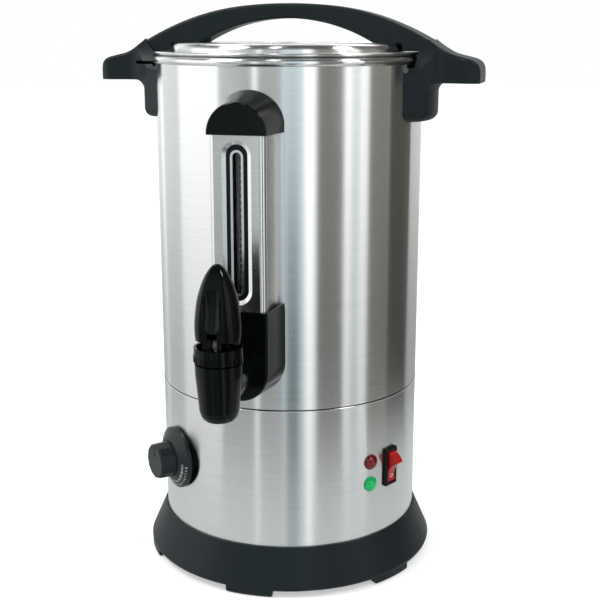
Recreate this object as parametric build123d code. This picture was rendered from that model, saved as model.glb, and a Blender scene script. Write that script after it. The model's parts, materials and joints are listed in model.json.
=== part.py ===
"""Electric hot water urn with a side tap, a sight gauge and a lift-off lid.

Millimetres, +Z up.  The origin is on the axis of the tank at the level that the feet stand on.
The tap points to -Y, the side handles lie along X and the mains inlet is at the back (+Y).
Azimuths are measured about the axis from the tap: 0 is the tap, +90 is +X, 180 is the back.
"""
from build123d import *
import os
from math import atan, cos, degrees, radians, sin, sqrt, tan

os.makedirs("parts", exist_ok=True)

# ------------------------------------------------------------------ common sizes and clearances
SHEET = 0.8            # stainless sheet of the tank, housing, lid and gauge cover
SEAT_GAP = 0.1         # between fixed pieces that seat on each other
MOVE_GAP = 0.3         # between pieces that move past each other
RUN_FIT = 0.05         # radial play of a shaft, stem or pin in its bore

# ------------------------------------------------------------------ tank and housing
BODY_R = 104.0         # outer radius of the tank and of the housing
TANK_LOW = 147.0       # lower edge of the tank skirt
FLOOR_Z = 158.0        # underside of the tank floor
FLOOR_BEND = 6.0       # inner bend between floor and wall
BEAD_Z = 401.1         # centre of the rolled rim
BEAD_MINOR = 3.0
BEAD_R = BODY_R + 2.1 - BEAD_MINOR
JOGGLE_TOP = 156.0     # top of the stepped-in collar of the housing
JOGGLE_STEP = 0.5      # height of the step
HOUSING_TOP = 146.4
WALL_IN = BODY_R - SHEET

# ------------------------------------------------------------------ base
BASE_TOP = 36.1
BASE_TOP_R = BODY_R + 1.5
SKIRT_R = BODY_R + 13.7    # widest radius of the skirt
SKIRT_Z = 8.5
SKIRT_CORNER = 3.6
FOOT_H = 4.5           # gap under the skirt between the feet
FOOT_COUNT = 6
FOOT_SPAN = 18.4       # degrees covered by one foot
FOOT_CHAMFER = 1.5
SHELF_LOW = 11.0       # inner shelf that carries the housing
SHELF_TOP = 14.0
SHELF_R = BODY_R - 14.0
FOOT_IN = BODY_R      # inner radius of the feet
SKIN = 3.0             # wall of plastic mouldings at the base
COVER_R = BODY_R - 4.0
COVER_SHEET = 1.0
COVER_SCREWS = 3
COVER_SCREW_R = BODY_R - 9.0
COVER_SCREW_AZ = 30.0
COVER_BOSS_R = 4.2
PILOT_R = 1.6          # pilot hole of a self-tapping screw
COVER_HOLE_R = 2.0
VENT_COUNT = 10
VENT_R = BODY_R - 42.0
VENT_LENGTH = 26.0
VENT_WIDTH = 4.0

# ------------------------------------------------------------------ lid
LID_TOP = 413.5        # raised middle of the lid
LID_STEP_R = BODY_R - 12.0
LID_BEND = 1.6
FLANGE_LOW = BEAD_Z + BEAD_MINOR + MOVE_GAP
LID_EDGE_R = BODY_R + 1.5
LID_EDGE_MINOR = 1.0
GUIDE_R = BODY_R - 4.6     # locating ring under the flange
GUIDE_DEPTH = 8.0

# ------------------------------------------------------------------ lid handle
ARCH_TOP = LID_TOP + 29.65
ARCH_UNIT = BODY_R - 4.0         # length that the fall of the crest is counted in
ARCH_FALL = (13.3, 11.0, -3.3)   # fall of the crest with (x / ARCH_UNIT) squared, to the 4th and to the 6th
ARCH_MID_W = 9.5       # half width in the middle
ARCH_END_W = 18.5      # half width at the ends
ARCH_THICK = 11.35     # thickness in the middle
ARCH_REACH = BODY_R + 14.0   # half length before the seam cuts it
ARCH_FOOT_X = BODY_R - 35.0  # where the underside meets the lid
UNDER_ROUND = 1.5
ARCH_ROUND = 2.6
SEAM_R = BODY_R + 4.0  # cone between lid handle and side handle, at SEAM_Z
SEAM_Z = LID_TOP - 6.0
SEAM_SLOPE = 0.675
TONGUE_W = 11.0        # half width of the tongue outside the rim
TONGUE_OUT = BODY_R + 7.0
TONGUE_LOW = SEAM_Z - 7.5
GROOVE_IN = 3.4        # groove line in from the edge of the crest
GROOVE_W = 1.2
GROOVE_DEPTH = 0.8
LID_SCREW_X = BODY_R - 24.0
LID_SCREW_R = 1.6
LID_HOLE_DEPTH = 11.0

# ------------------------------------------------------------------ side handles
LEG_LOW = 356.0
LEG_TOP = 395.5
LEG_W = 36.0           # half width at the tank wall
LEG_CORNER = (BODY_R + 7.8, 26.6)
LEG_BULGE_X = BODY_R + 13.5
LEG_ROUND = 7.0
LEG_EDGE = 5.0         # rounding of the upright corners
HORN_LOW = 384.5
HORN_ROOT = 7.0        # fillet between leg and horn
HORN_CREST = ((-4.0, 424.0), (8.1, 417.0), (13.0, 413.0), (18.4, 409.7), (24.2, 406.6),
              (30.6, 404.6), (37.3, 402.9), (42.8, 400.9), (45.9, 398.0), (47.2, 393.5),
              (47.2, 386.0), (46.9, 378.0))      # (distance from the wall, height)
HORN_PLAN = ((-4.0, 30.5), (8.0, 26.0), (14.5, 21.3), (23.0, 19.0), (33.0, 20.4),
             (40.0, 21.8), (45.0, 20.2), (49.0, 14.5))   # (distance from the wall, half width)
HORN_BELL = ((34.0, 388.0), (27.5, 396.0), (22.6, 404.0), (18.9, 416.0), (18.7, 424.0))
HORN_ROUND = 2.6
RIM_NOTCH_R = BODY_R + 3.4   # inner face of the handle around the rim
HOLLOW_X = (BODY_R + 19.0, BODY_R + 39.0)
HOLLOW_W = 14.0
HOLLOW_DEPTH = 9.0
HOLLOW_CORNER = 5.0
SLOT_LOW, SLOT_HIGH = 396.9, 399.3   # entry slot of the lid lock
SLOT_OUT = BODY_R + 16.8
HANDLE_SCREW_AZ = 12.0
HANDLE_SCREW_Z = 376.0
HANDLE_SCREW_R = 2.0
HANDLE_SCREW_LENGTH = 7.0
HANDLE_PILOT_R = 1.7

# ------------------------------------------------------------------ gauge column
COLUMN_Y = -BODY_R - 29.0   # front plane of the channel
COLUMN_W = 20.4
COLUMN_LOW = 226.0
COLUMN_TOP = 358.0
COLUMN_BEND = 4.4
FLANGE_W = 25.5        # foot flanges on the tank
SLOT_W = 15.7          # opening
SLOT_Z = (236.6, 347.1)
BEVEL = 2.8            # width of the pressed bevel round the opening
BEVEL_DEPTH = 1.2
TUBE_Y = -BODY_R - 18.0
TUBE_R = 4.0
TUBE_BORE = 2.8
TUBE_Z = (196.0, 358.0)
WINDOW_Y = COLUMN_Y + BEVEL_DEPTH + SHEET   # front of the black plate behind the slot
WINDOW_T = 1.4
WINDOW_W = 13.5
WINDOW_Z = (SLOT_Z[0] - 4.0, SLOT_Z[1] + 4.0)
WINDOW_RIM = 1.2       # thickness of the tray's edge
TRIM_W = 9.6
TRIM_LINE = 1.7
TRIM_Z = (240.2, 343.2)
TRIM_T = 1.0
SCALE_W = 2.9
SCALE_T = 0.8
SCALE_PITCH = 5.0
SCALE_SLANT = 35.0
SEAL_R = 6.2
SEAL_END = 3.0         # rubber beyond the lower end of the tube
SEAL_GRIP = 16.0       # length of tube in the lower seal
SEAL_TOP_GRIP = 7.0
SEAL_CROWN = 5.9       # rubber above the upper end of the tube
SCALE_GAP = 0.4        # between tube and scale strip
VENT_HOLE_R = 1.2      # lets air out of the tube

# ------------------------------------------------------------------ cap and shroud
CAP_LOW = 353.3
CAP_SKIN = 1.2
CAP_FRONT_Y = COLUMN_Y - SEAT_GAP - CAP_SKIN
CAP_FRONT_W = COLUMN_W + SEAT_GAP + CAP_SKIN
CAP_WALL_W = 26.0
CAP_RISE = 4.6         # the crown is this much higher at the tank than at the front
CAP_ROUND = 1.6
SHROUD_TOP = 229.3
WALL_PLANE_Y = 8.0 - BODY_R   # plane of the wall-side outline of cap and shroud

# ------------------------------------------------------------------ tap
TAP_Y = -BODY_R - 71.5
TAP_Z = 184.0          # axis of the inlet boss
TAP_BODY = ((13.4, 204.6), (16.4, 203.8), (16.1, 195.0), (13.8, 170.4), (12.9, 167.0), (11.3, 164.4),
            (9.6, 163.1))     # (radius, height) of the chamber's outside from the collar to the spout
CHAMBER_R = 12.6
SEAT_Z = 174.0
SPOUT_R = 7.0
SPOUT_LOW = 163.1
BOSS_R = 13.0
SHANK_R = 8.0
SHANK_BORE = 5.5
SHANK_END_Y = 14.0 - BODY_R
HOLE_PLAY = 0.2
FLANGE_Y = -BODY_R - 3.0   # face that presses on the outer seal
TEE_R = 7.6
TEE_TOP = 205.0
NUT_AF = 24.0
NUT_T = 6.0
SEAL_T = 3.4           # rubber between the tank wall and the nut
COLLAR_R = 16.8
COLLAR_LOW = 204.8
COLLAR_TOP = 215.5
COLLAR_IN = 15.3
COLLAR_FLOOR = COLLAR_TOP - 6.5
COLLAR_FLOOR_T = 2.0
COLLAR_SPIGOT = COLLAR_LOW - 6.3
RIB_COUNT = 24
RIB_OUT = 0.4          # height of a grip rib
PIN_Z = COLLAR_TOP + 0.5
PIN_R = 1.6
STEM_R = 2.5
BARB_R = 4.1           # flange on the foot of the stem
BARB_T = 2.0
CUP_SKIN = 2.0         # silicone under the foot of the stem
EYE_R = 3.3
EYE_W = 3.0            # half width of the flat eye
CHEEK_IN = 3.4
CHEEK_OUT = 6.8
CAM_R = 6.8
CAM_OFFSET = 6.2
HUB_R = 4.2            # cheek round the lever pin
CUP_R = 9.6
CUP_LOW = SEAT_Z + 0.3
CUP_H = 9.0
CUP_SEAT = 6.5         # height in the cup that the spring stands on
CUP_WALL = 1.8
SPRING_R = 5.6         # mean radius of the return spring
SPRING_WIRE = 0.9
SPRING_TURNS = 4
LEVER_SHAPE = ((0.0, 272.3), (2.6, 271.5), (5.4, 268.8), (8.8, 263.4), (11.5, 256.8), (14.0, 248.0),
               (15.4, 238.0), (16.0, 230.0), (15.9, 225.0), (15.0, 217.0))
LEVER_FRONT = 0.83     # depth of the front facet over the radius
LEVER_BACK = 0.9
DISH_Z = 242.0
DISH_R = 9.0           # radius across the thumb dish
DISH_BEND = 60.0       # radius along the thumb dish
DISH_DEPTH = 3.4
DISH_TILT = 7.5        # the dish leans back with the front of the lever
CLEVIS_TOP = PIN_Z + 11.0
LEVER_RAKE = 12.5      # slope of the underside, so that the lever clears the rim of the collar
LEVER_UNDER = 2.4      # underside above the pin, on the slope

# ------------------------------------------------------------------ thermostat and dial
DIAL_AZ, DIAL_Z = -42.6, 91.5
DIAL_R = 24.5
DIAL_LIFT = 0.7        # back of the skirt above the tangent plane of the wall
DIAL_RIM = 2.6
DIAL_NECK_R = 15.4
DIAL_NECK_Z = 8.6
GRIP_R = 14.3
GRIP_SIDES = 12
GRIP_TOP = 21.5
DIAL_SKIN = 1.8
SHAFT_R = 3.0
BUSH_R = 5.0
STAT_SIZE = (32.0, 36.0, 20.0)
BULB_R = 3.0
SPADE_W, SPADE_T = 6.3, 0.8     # spade terminals
STAT_SPADE_X = 8.0
CAPILLARY_R = 0.9

# ------------------------------------------------------------------ lamps and switch
LAMP_AZ = 52.85
LAMP_RED_Z, LAMP_GREEN_Z = 97.5, 79.35
LAMP_R = 6.0
LAMP_DOME = 3.2
LAMP_STEM_R = 4.0
LAMP_BODY_R = 5.2
LAMP_BODY_L = 16.0
SWITCH_AZ, SWITCH_Z = 64.8, 88.8
BEZEL_SIZE = (14.0, 31.0)
BEZEL_T = 2.5
BEZEL_FRAME = 2.0
SWITCH_BODY = (11.6, 27.0, 19.0)
ROCKER_TILT = 12.0
ROCKER_PIVOT = -2.2
ROCKER_R = 13.0
ROCKER_WALL = 1.2      # housing beside the rocker
ROCKER_CREST = 3.0     # height of the vee over the pivot
SPADE_OUT = 7.0        # length of the switch terminals

# ------------------------------------------------------------------ heater, inlet and wiring
PLATE_R = BODY_R - 24.0
PLATE_T = 4.2
ELEMENT_R = BODY_R - 42.0
ELEMENT_TUBE = 4.0
ELEMENT_ARC = 316.0
ELEMENT_LEG_LOW = 130.0
CUTOUT_R = 12.0
CUTOUT_T = 11.0
CUTOUT_Y = 22.0
COLD_PIN_R = 1.5       # terminal pin on each end of the element
COLD_PIN_L = 8.0
INLET_Z = 62.0
INLET_FLANGE = (49.0, 26.0)
INLET_FACE = 2.6
INLET_CORE = (27.0, 20.0)
INLET_SOCKET = (24.2, 17.0)
INLET_DEPTH = 16.0
INLET_LENGTH = 20.0
INLET_SCREW_X = 20.0
INLET_SCREW_R = 1.5
INLET_CORNER = 4.0     # cut corners of the socket
INLET_TAIL = 7.0       # contact pins behind the core
CONTACT_DEPTH = 3.0    # tips of the contact pins below the face
PIN_W, PIN_T = 2.0, 4.0
PIN_SPOTS = ((-7.0, -0.8), (7.0, -0.8), (0.0, 3.2))
BLOCK_SIZE = (44.0, 18.0, 15.0)
BLOCK_Y = BODY_R - 52.0
WIRE_R = 1.6
WIRE_BEND = 7.0

UPRIGHT = (Align.CENTER, Align.CENTER, Align.MIN)


# ================================================================== helpers
def rod(radius, low, high, x=0.0, y=0.0):
    """Upright cylinder between two heights."""
    return Pos(x, y, low) * Cylinder(radius, high - low, align=UPRIGHT)


def tube(outer, inner, low, high, x=0.0, y=0.0):
    """Upright tube between two heights."""
    return rod(outer, low, high, x, y) - rod(inner, low - 1, high + 1, x, y)


def rod_y(radius, y0, y1, z, x=0.0):
    """Cylinder along Y."""
    return Pos(x, (y0 + y1) / 2, z) * Rot(90, 0, 0) * Cylinder(radius, abs(y1 - y0))


def rod_x(radius, x0, x1, y, z):
    """Cylinder along X."""
    return Pos((x0 + x1) / 2, y, z) * Rot(0, 90, 0) * Cylinder(radius, abs(x1 - x0))


def block(x0, x1, y0, y1, z0, z1):
    """Box between six faces."""
    return Pos((x0 + x1) / 2, (y0 + y1) / 2, (z0 + z1) / 2) * Box(x1 - x0, y1 - y0, z1 - z0)


def turned(points, y=0.0, angle=360.0):
    """Body turned about the upright line through (0, y) from (radius, height) points."""
    face = make_face(Polyline(*[(r, 0, z) for r, z in points], close=True))
    return Pos(0, y, 0) * revolve(face, Axis.Z, angle)


def on_wall(azimuth, height, radius=BODY_R):
    """Frame on the wall: local z points out, local y up, local x along the wall."""
    a = radians(azimuth)
    origin = (radius * sin(a), -radius * cos(a), height)
    return Plane(origin=origin, x_dir=(cos(a), sin(a), 0), z_dir=(sin(a), -cos(a), 0)).location


def around(azimuth, solid):
    """A solid modelled at the front, turned to its azimuth."""
    return Rot(0, 0, azimuth) * solid


def rims(solid, radius, height):
    """Circular edges about the upright axis with one radius at one height."""
    found = []
    for edge in solid.edges().filter_by(GeomType.CIRCLE):
        if abs(edge.radius - radius) < 0.02 and abs(edge.arc_center.Z - height) < 0.02:
            found.append(edge)
    return found


def cable(points, radius, bend):
    """Round cable through points, with rounded corners."""
    path = FilletPolyline(*points, radius=bend)
    return sweep((path ^ 0) * Circle(radius), path=path)


def pan_screw(head_r, head_t, shank_r, length):
    """Pan-head screw: underside of the head at z 0, shank down, with a cross recess."""
    head = Pos(0, 0, 0) * Cylinder(head_r, head_t, align=UPRIGHT)
    head = fillet(head.edges().sort_by(Axis.Z)[-1], head_t * 0.55)
    recess = Box(head_r * 1.1, head_r * 0.28, head_t) + Box(head_r * 0.28, head_r * 1.1, head_t)
    shank = Pos(0, 0, -length) * Cylinder(shank_r, length + 0.2, align=UPRIGHT)
    shank = chamfer(shank.edges().sort_by(Axis.Z)[0], shank_r * 0.4)
    return head + shank - Pos(0, 0, head_t) * recess


def save(solid, name):
    """One STEP file for each piece."""
    export_step(solid, "parts/" + name + ".step")


# ================================================================== tank
def make_tank():
    """Drawn vessel: wall, floor with a rounded inner corner, and a rolled rim."""
    shell = tube(BODY_R, WALL_IN, TANK_LOW, BEAD_Z) + rod(WALL_IN + SHEET / 2, FLOOR_Z, FLOOR_Z + SHEET)
    shell = fillet(rims(shell, WALL_IN, FLOOR_Z + SHEET), FLOOR_BEND)
    shell += Pos(0, 0, BEAD_Z) * Torus(BEAD_R, BEAD_MINOR)
    shell -= rod_y(SHANK_R + HOLE_PLAY, -BODY_R - 5, -BODY_R + 8, TAP_Z)
    for side in (90, -90):
        for turn in (-HANDLE_SCREW_AZ, HANDLE_SCREW_AZ):
            hole = on_wall(side + turn, HANDLE_SCREW_Z) * Cylinder(HANDLE_SCREW_R + HOLE_PLAY, 10)
            shell -= hole
    return shell


# ================================================================== lower housing
def make_housing():
    """Shell below the seam, stepped in at the top so that the tank slips over it."""
    step_r = WALL_IN - SEAT_GAP
    shell = turned([(WALL_IN, SHELF_TOP + SEAT_GAP), (BODY_R, SHELF_TOP + SEAT_GAP),
                    (BODY_R, HOUSING_TOP), (step_r, HOUSING_TOP + JOGGLE_STEP),
                    (step_r, JOGGLE_TOP), (step_r - SHEET, JOGGLE_TOP),
                    (step_r - SHEET, HOUSING_TOP - SHEET / 2), (WALL_IN, HOUSING_TOP - SHEET)])
    cuts = [on_wall(DIAL_AZ, DIAL_Z) * Cylinder(BUSH_R + HOLE_PLAY, 10)]
    for height in (LAMP_RED_Z, LAMP_GREEN_Z):
        cuts.append(on_wall(LAMP_AZ, height) * Cylinder(LAMP_STEM_R + HOLE_PLAY, 10))
    play = 2 * HOLE_PLAY
    cuts.append(on_wall(SWITCH_AZ, SWITCH_Z) * Box(SWITCH_BODY[0] + play, SWITCH_BODY[1] + play, 12))
    cuts.append(on_wall(180, INLET_Z) * Box(INLET_CORE[0] + play, INLET_CORE[1] + play, 12))
    for x in (-INLET_SCREW_X, INLET_SCREW_X):
        cuts.append(on_wall(180, INLET_Z) * Pos(x, 0, 0) * Cylinder(INLET_SCREW_R + HOLE_PLAY, 12))
    return shell - cuts


# ================================================================== base
def make_base():
    """Moulded ring: conical skirt, inner shelf for the housing, six feet and screw bosses."""
    inner = BODY_R + 2 * SEAT_GAP
    ring = turned([(inner, BASE_TOP), (BASE_TOP_R, BASE_TOP), (SKIRT_R, SKIRT_Z), (SKIRT_R, FOOT_H),
                   (SKIRT_R - 2 * SKIN, FOOT_H), (SKIRT_R - 2 * SKIN, SHELF_LOW),
                   (SHELF_R, SHELF_LOW), (SHELF_R, SHELF_TOP), (inner, SHELF_TOP)])
    ring = fillet(rims(ring, SKIRT_R, FOOT_H), SKIRT_CORNER)
    outer = SKIRT_R - 0.3
    root = SHELF_LOW + 0.5
    foot = turned([(FOOT_IN, 0), (outer - FOOT_CHAMFER, 0), (outer, FOOT_CHAMFER),
                   (outer, SKIRT_Z), (outer - SKIN, root), (FOOT_IN, root)], angle=FOOT_SPAN)
    foot = chamfer(foot.edges().filter_by(GeomType.LINE).filter_by(lambda e: e.center().Z < 0.1), FOOT_CHAMFER)
    foot = Rot(0, 0, -90 - FOOT_SPAN / 2) * foot
    for n in range(FOOT_COUNT):
        ring += around(n * 360 / FOOT_COUNT, foot)
    for n in range(COVER_SCREWS):
        spot = Rot(0, 0, COVER_SCREW_AZ + n * 360 / COVER_SCREWS) * Pos(0, -COVER_SCREW_R, 0)
        ring += spot * rod(COVER_BOSS_R, SHELF_TOP - 1, SHELF_TOP + 10)
        ring -= spot * rod(PILOT_R, SHELF_LOW - 1, SHELF_TOP + 8)
    return ring


def make_bottom_cover():
    """Pressed steel cover under the shelf, with vent slots and screw holes."""
    top = SHELF_LOW - SEAT_GAP
    cover = rod(COVER_R, top - COVER_SHEET, top)
    slot = Pos(0, -VENT_R, top) * extrude(SlotOverall(VENT_LENGTH, VENT_WIDTH, rotation=90), 2, both=True)
    for n in range(VENT_COUNT):
        cover -= around((n + 0.5) * 360 / VENT_COUNT, slot)
    for n in range(COVER_SCREWS):
        cover -= around(COVER_SCREW_AZ + n * 360 / COVER_SCREWS,
                        rod(COVER_HOLE_R, top - 3, top + 1, 0, -COVER_SCREW_R))
    cover -= [rod(PILOT_R, top - 3, top + 1, x, BLOCK_Y) for x in (-BLOCK_SIZE[0] / 3, BLOCK_SIZE[0] / 3)]
    return cover


# ================================================================== lid
def make_lid_pan():
    """Lid with a raised middle, a flange on the rim, a rolled edge and a locating ring."""
    top = LID_TOP
    low = FLANGE_LOW
    r = LID_STEP_R
    pan = turned([(0, top), (r, top), (r, low + SHEET), (LID_EDGE_R - 2.4, low + SHEET),
                  (LID_EDGE_R - 1.6, low + 2.0), (LID_EDGE_R - 0.6, low + 1.4),
                  (LID_EDGE_R - 2.0, low), (r - SHEET, low), (r - SHEET, top - SHEET), (0, top - SHEET)])
    pan = fillet(rims(pan, r, top), LID_BEND)
    pan += Pos(0, 0, low + 0.9 + LID_EDGE_MINOR) * Torus(LID_EDGE_R - LID_EDGE_MINOR, LID_EDGE_MINOR)
    pan += tube(GUIDE_R, GUIDE_R - SHEET, low - GUIDE_DEPTH, low + SHEET / 2)
    pan -= [rod(LID_SCREW_R + 3 * HOLE_PLAY, top - 3, top + 1, x) for x in (-LID_SCREW_X, LID_SCREW_X)]
    return pan


def crest(x, drop=0.0):
    """Height of the crest of the lid handle."""
    u = (x / ARCH_UNIT) ** 2
    return ARCH_TOP - ARCH_FALL[0] * u - ARCH_FALL[1] * u ** 2 - ARCH_FALL[2] * u ** 3 - drop


def arch_width(x):
    """Half width of the lid handle, wider towards its ends."""
    return ARCH_MID_W + (ARCH_END_W - ARCH_MID_W) * (x / TONGUE_OUT) ** 2


def crest_band(low_drop, high_drop, reach, half):
    """Slab between two curves parallel to the crest."""
    xs = [reach * (n / 4 - 1) for n in range(9)]
    upper = Spline(*[(x, 0, crest(x, -high_drop)) for x in xs])
    lower = Spline(*[(x, 0, crest(x, low_drop)) for x in xs])
    edges = [upper, lower, Line(upper @ 0, lower @ 0), Line(upper @ 1, lower @ 1)]
    return extrude(make_face(edges), half, both=True)


def plan_band(offset_out, offset_in, reach, low, high):
    """Upright strip along one edge of the lid handle's plan, between two offsets from the edge."""
    xs = [reach * (n / 4 - 1) for n in range(9)]
    outer = Spline(*[(x, arch_width(x) - offset_out, low) for x in xs])
    inner = Spline(*[(x, arch_width(x) - offset_in, low) for x in xs])
    edges = [outer, inner, Line(outer @ 0, inner @ 0), Line(outer @ 1, inner @ 1)]
    return extrude(make_face(edges), high - low, dir=(0, 0, 1))


def seam_cone(gap, top):
    """Everything inside the cone that parts the lid handle from the side handles."""
    rise = top - SEAM_Z
    return turned([(0, SEAM_Z), (SEAM_R + gap, SEAM_Z), (SEAM_R + gap + SEAM_SLOPE * rise, top), (0, top)])


def make_lid_handle():
    """Arch over the lid, waisted in plan, with feet on the lid and a tongue outside the rim."""
    reach = ARCH_REACH
    foot_z = LID_TOP + SEAT_GAP
    step_x = LID_STEP_R + MOVE_GAP
    low = SEAM_Z
    over = ARCH_TOP + 5
    wide = 2 * ARCH_END_W
    xs = [reach * (n / 4 - 1) for n in range(9)]
    top = Spline(*[(x, 0, crest(x)) for x in xs])
    under = ThreePointArc((-ARCH_FOOT_X, 0, foot_z), (0, 0, ARCH_TOP - ARCH_THICK), (ARCH_FOOT_X, 0, foot_z))
    right = Polyline((ARCH_FOOT_X, 0, foot_z), (step_x, 0, foot_z), (step_x, 0, low),
                     (reach, 0, low), top @ 1)
    left = Polyline((-ARCH_FOOT_X, 0, foot_z), (-step_x, 0, foot_z), (-step_x, 0, low),
                    (-reach, 0, low), top @ 0)
    arch = extrude(make_face([top, under, right, left]), wide, both=True)
    rim_a = Spline(*[(x, arch_width(x), low - 10) for x in xs])
    rim_b = Spline(*[(x, -arch_width(x), low - 10) for x in xs])
    plan = make_face([rim_a, rim_b, Line(rim_a @ 0, rim_b @ 0), Line(rim_a @ 1, rim_b @ 1)])
    arch &= extrude(plan, over - low + 10, dir=(0, 0, 1))
    curved = arch.edges().filter_by(lambda e: abs(e.center().X) < 5 and abs(e.center().Y) > ARCH_MID_W / 2)
    arch = fillet(curved.filter_by(lambda e: e.length > 1.6 * reach), ARCH_ROUND)
    curved = arch.edges().filter_by(lambda e: abs(e.center().X) < 5 and abs(e.center().Y) > ARCH_MID_W / 2)
    arch = fillet(curved.filter_by(lambda e: 1.6 * ARCH_FOOT_X < e.length < 1.6 * reach), UNDER_ROUND)
    groove = crest_band(GROOVE_DEPTH, 3, reach, wide)
    groove &= plan_band(GROOVE_IN, GROOVE_IN + GROOVE_W, reach, low, over)
    arch = arch - groove - mirror(groove, Plane.XZ)
    arch &= seam_cone(0, over)
    tongue = tube(TONGUE_OUT, RIM_NOTCH_R - 0.1, TONGUE_LOW, SEAM_Z + 3.0)
    tongue = chamfer(rims(tongue, TONGUE_OUT, TONGUE_LOW), 1.2)
    keep = block(LID_STEP_R, TONGUE_OUT + 5, -TONGUE_W, TONGUE_W, TONGUE_LOW - 5, over)
    arch = arch + (tongue & keep) + (tongue & Rot(0, 0, 180) * keep)
    pilot = LID_SCREW_R + SEAT_GAP
    arch -= [rod(pilot, LID_TOP - 1, LID_TOP + LID_HOLE_DEPTH, x) for x in (-LID_SCREW_X, LID_SCREW_X)]
    return arch


# ================================================================== side handle
def root_web(cx, cy):
    """Concave web under the horn that runs round the bulged outer face of the leg."""
    bulge = LEG_BULGE_X - cx
    r = (cy ** 2 + bulge ** 2) / (2 * bulge)
    low, high = HORN_LOW - HORN_ROOT, HORN_LOW + 0.5
    mid = HORN_ROOT * (1 - sin(radians(45)))
    arc = ThreePointArc((r, 0, low), (r + mid, 0, HORN_LOW - mid), (r + HORN_ROOT, 0, HORN_LOW))
    edges = [arc, Polyline((r + HORN_ROOT, 0, HORN_LOW), (r + HORN_ROOT, 0, high), (r - 3, 0, high),
                           (r - 3, 0, low), (r, 0, low))]
    ring = Pos(LEG_BULGE_X - r, 0, 0) * revolve(make_face(edges), Axis.Z)
    return ring & block(BODY_R + 1, LEG_BULGE_X + 4 * HORN_ROOT, -LEG_W, LEG_W, LEG_LOW, HORN_LOW + 1)


def make_side_handle():
    """Right-hand handle: a splayed leg on the tank wall and a horn that runs on from the lid handle."""
    inside = BODY_R - 10
    beyond = BODY_R + 60
    over = HORN_CREST[0][1] + 6
    slope = (LEG_W - LEG_CORNER[1]) / (sqrt(BODY_R ** 2 - LEG_W ** 2) - LEG_CORNER[0])
    back_w = LEG_CORNER[1] + slope * (inside - LEG_CORNER[0])
    cx, cy = LEG_CORNER
    sides = Polyline((cx, cy), (inside, back_w), (inside, -back_w), (cx, -cy))
    face = make_face([sides, ThreePointArc((cx, -cy), (LEG_BULGE_X, 0), (cx, cy))])
    leg = Pos(0, 0, LEG_LOW) * extrude(face, HORN_LOW + 8 - LEG_LOW)
    corners = leg.edges().filter_by(Axis.Z).filter_by(lambda e: e.center().X > inside + 5)
    leg = fillet(corners, LEG_EDGE)
    low_edges = leg.faces().sort_by(Axis.Z)[0].edges().filter_by(lambda e: e.center().X > inside + 1)
    leg = fillet(low_edges, LEG_ROUND)

    top = Spline(*[(BODY_R + x, 0, z) for x, z in HORN_CREST])
    back = Polyline(top @ 1, (BODY_R + HORN_CREST[0][0], 0, HORN_CREST[-1][1]), top @ 0)
    wide = LEG_W + 9
    horn = extrude(make_face([top, back]), wide, both=True)
    side = Spline(*[(BODY_R + x, w) for x, w in HORN_PLAN])
    other = mirror(side, Plane.XZ)
    plan = make_face([side, other, Line(side @ 0, other @ 0), Line(side @ 1, other @ 1)])
    horn &= Pos(0, 0, HORN_LOW - 15) * extrude(plan, over - HORN_LOW + 15)
    crest_edges = horn.edges().filter_by(
        lambda e: e.length > 60 and abs(e.center().Y) > 8 and e.center().Z > HORN_LOW + 10)
    horn = fillet(crest_edges, HORN_ROUND)
    horn -= block(inside, beyond, -wide, wide, HORN_LOW - 15, HORN_LOW)
    bell_side = Spline(*[(0, w, z) for w, z in HORN_BELL])
    bell_other = mirror(bell_side, Plane.XZ)
    below = HORN_LOW - 5
    low_line = Polyline(bell_side @ 0, (0, wide, below), (0, -wide, below), bell_other @ 0)
    bell = make_face([bell_side, bell_other, low_line, Line(bell_side @ 1, bell_other @ 1)])
    horn &= Pos(inside, 0, 0) * extrude(bell, beyond - inside, dir=(1, 0, 0))
    hollow = Pos((HOLLOW_X[0] + HOLLOW_X[1]) / 2, 0, HORN_LOW) * Box(
        HOLLOW_X[1] - HOLLOW_X[0], 2 * HOLLOW_W, 2 * HOLLOW_DEPTH)
    hollow = fillet(hollow.edges().filter_by(Axis.Z), HOLLOW_CORNER)
    handle = leg + horn + (root_web(cx, cy) & Pos(0, 0, LEG_LOW) * extrude(plan, 60)) - hollow
    handle -= rod(BODY_R + SEAT_GAP, LEG_LOW - 10, LEG_TOP)
    handle -= rod(RIM_NOTCH_R, LEG_TOP, SEAM_Z)
    handle -= seam_cone(MOVE_GAP, over)
    pocket = tube(TONGUE_OUT + MOVE_GAP, RIM_NOTCH_R - 2, TONGUE_LOW - MOVE_GAP, over)
    handle -= pocket & block(inside, beyond, -TONGUE_W - MOVE_GAP, TONGUE_W + MOVE_GAP, LEG_TOP - 5, over)
    handle -= block(inside, SLOT_OUT, TONGUE_W - 2, wide, SLOT_LOW, SLOT_HIGH)
    for turn in (-HANDLE_SCREW_AZ, HANDLE_SCREW_AZ):
        spot = on_wall(90 + turn, HANDLE_SCREW_Z)
        handle -= spot * Pos(0, 0, -2) * Cylinder(HANDLE_PILOT_R, HANDLE_SCREW_LENGTH + 2, align=UPRIGHT)
    return handle


def make_handle_screw(azimuth):
    """Screw from inside the tank into the handle leg."""
    screw = pan_screw(4.2, 2.2, HANDLE_SCREW_R - 0.3, HANDLE_SCREW_LENGTH + 0.5)
    return on_wall(azimuth, HANDLE_SCREW_Z, WALL_IN - SEAT_GAP) * Rot(180, 0, 0) * screw


# ================================================================== gauge column
def stadium(width, low, high):
    """Upright stadium outline in the XZ plane, facing -Y, centred on X 0."""
    middle = (low + high) / 2
    return Plane(origin=(0, 0, middle), x_dir=(0, 0, 1), z_dir=(0, 1, 0)) * SlotOverall(high - low, width)


def stadium_bar(width, low, high, y0, y1):
    """Stadium-shaped bar from y0 back to y1."""
    return Pos(0, y0, 0) * extrude(stadium(width, low, high), y1 - y0, dir=(0, 1, 0))


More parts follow.
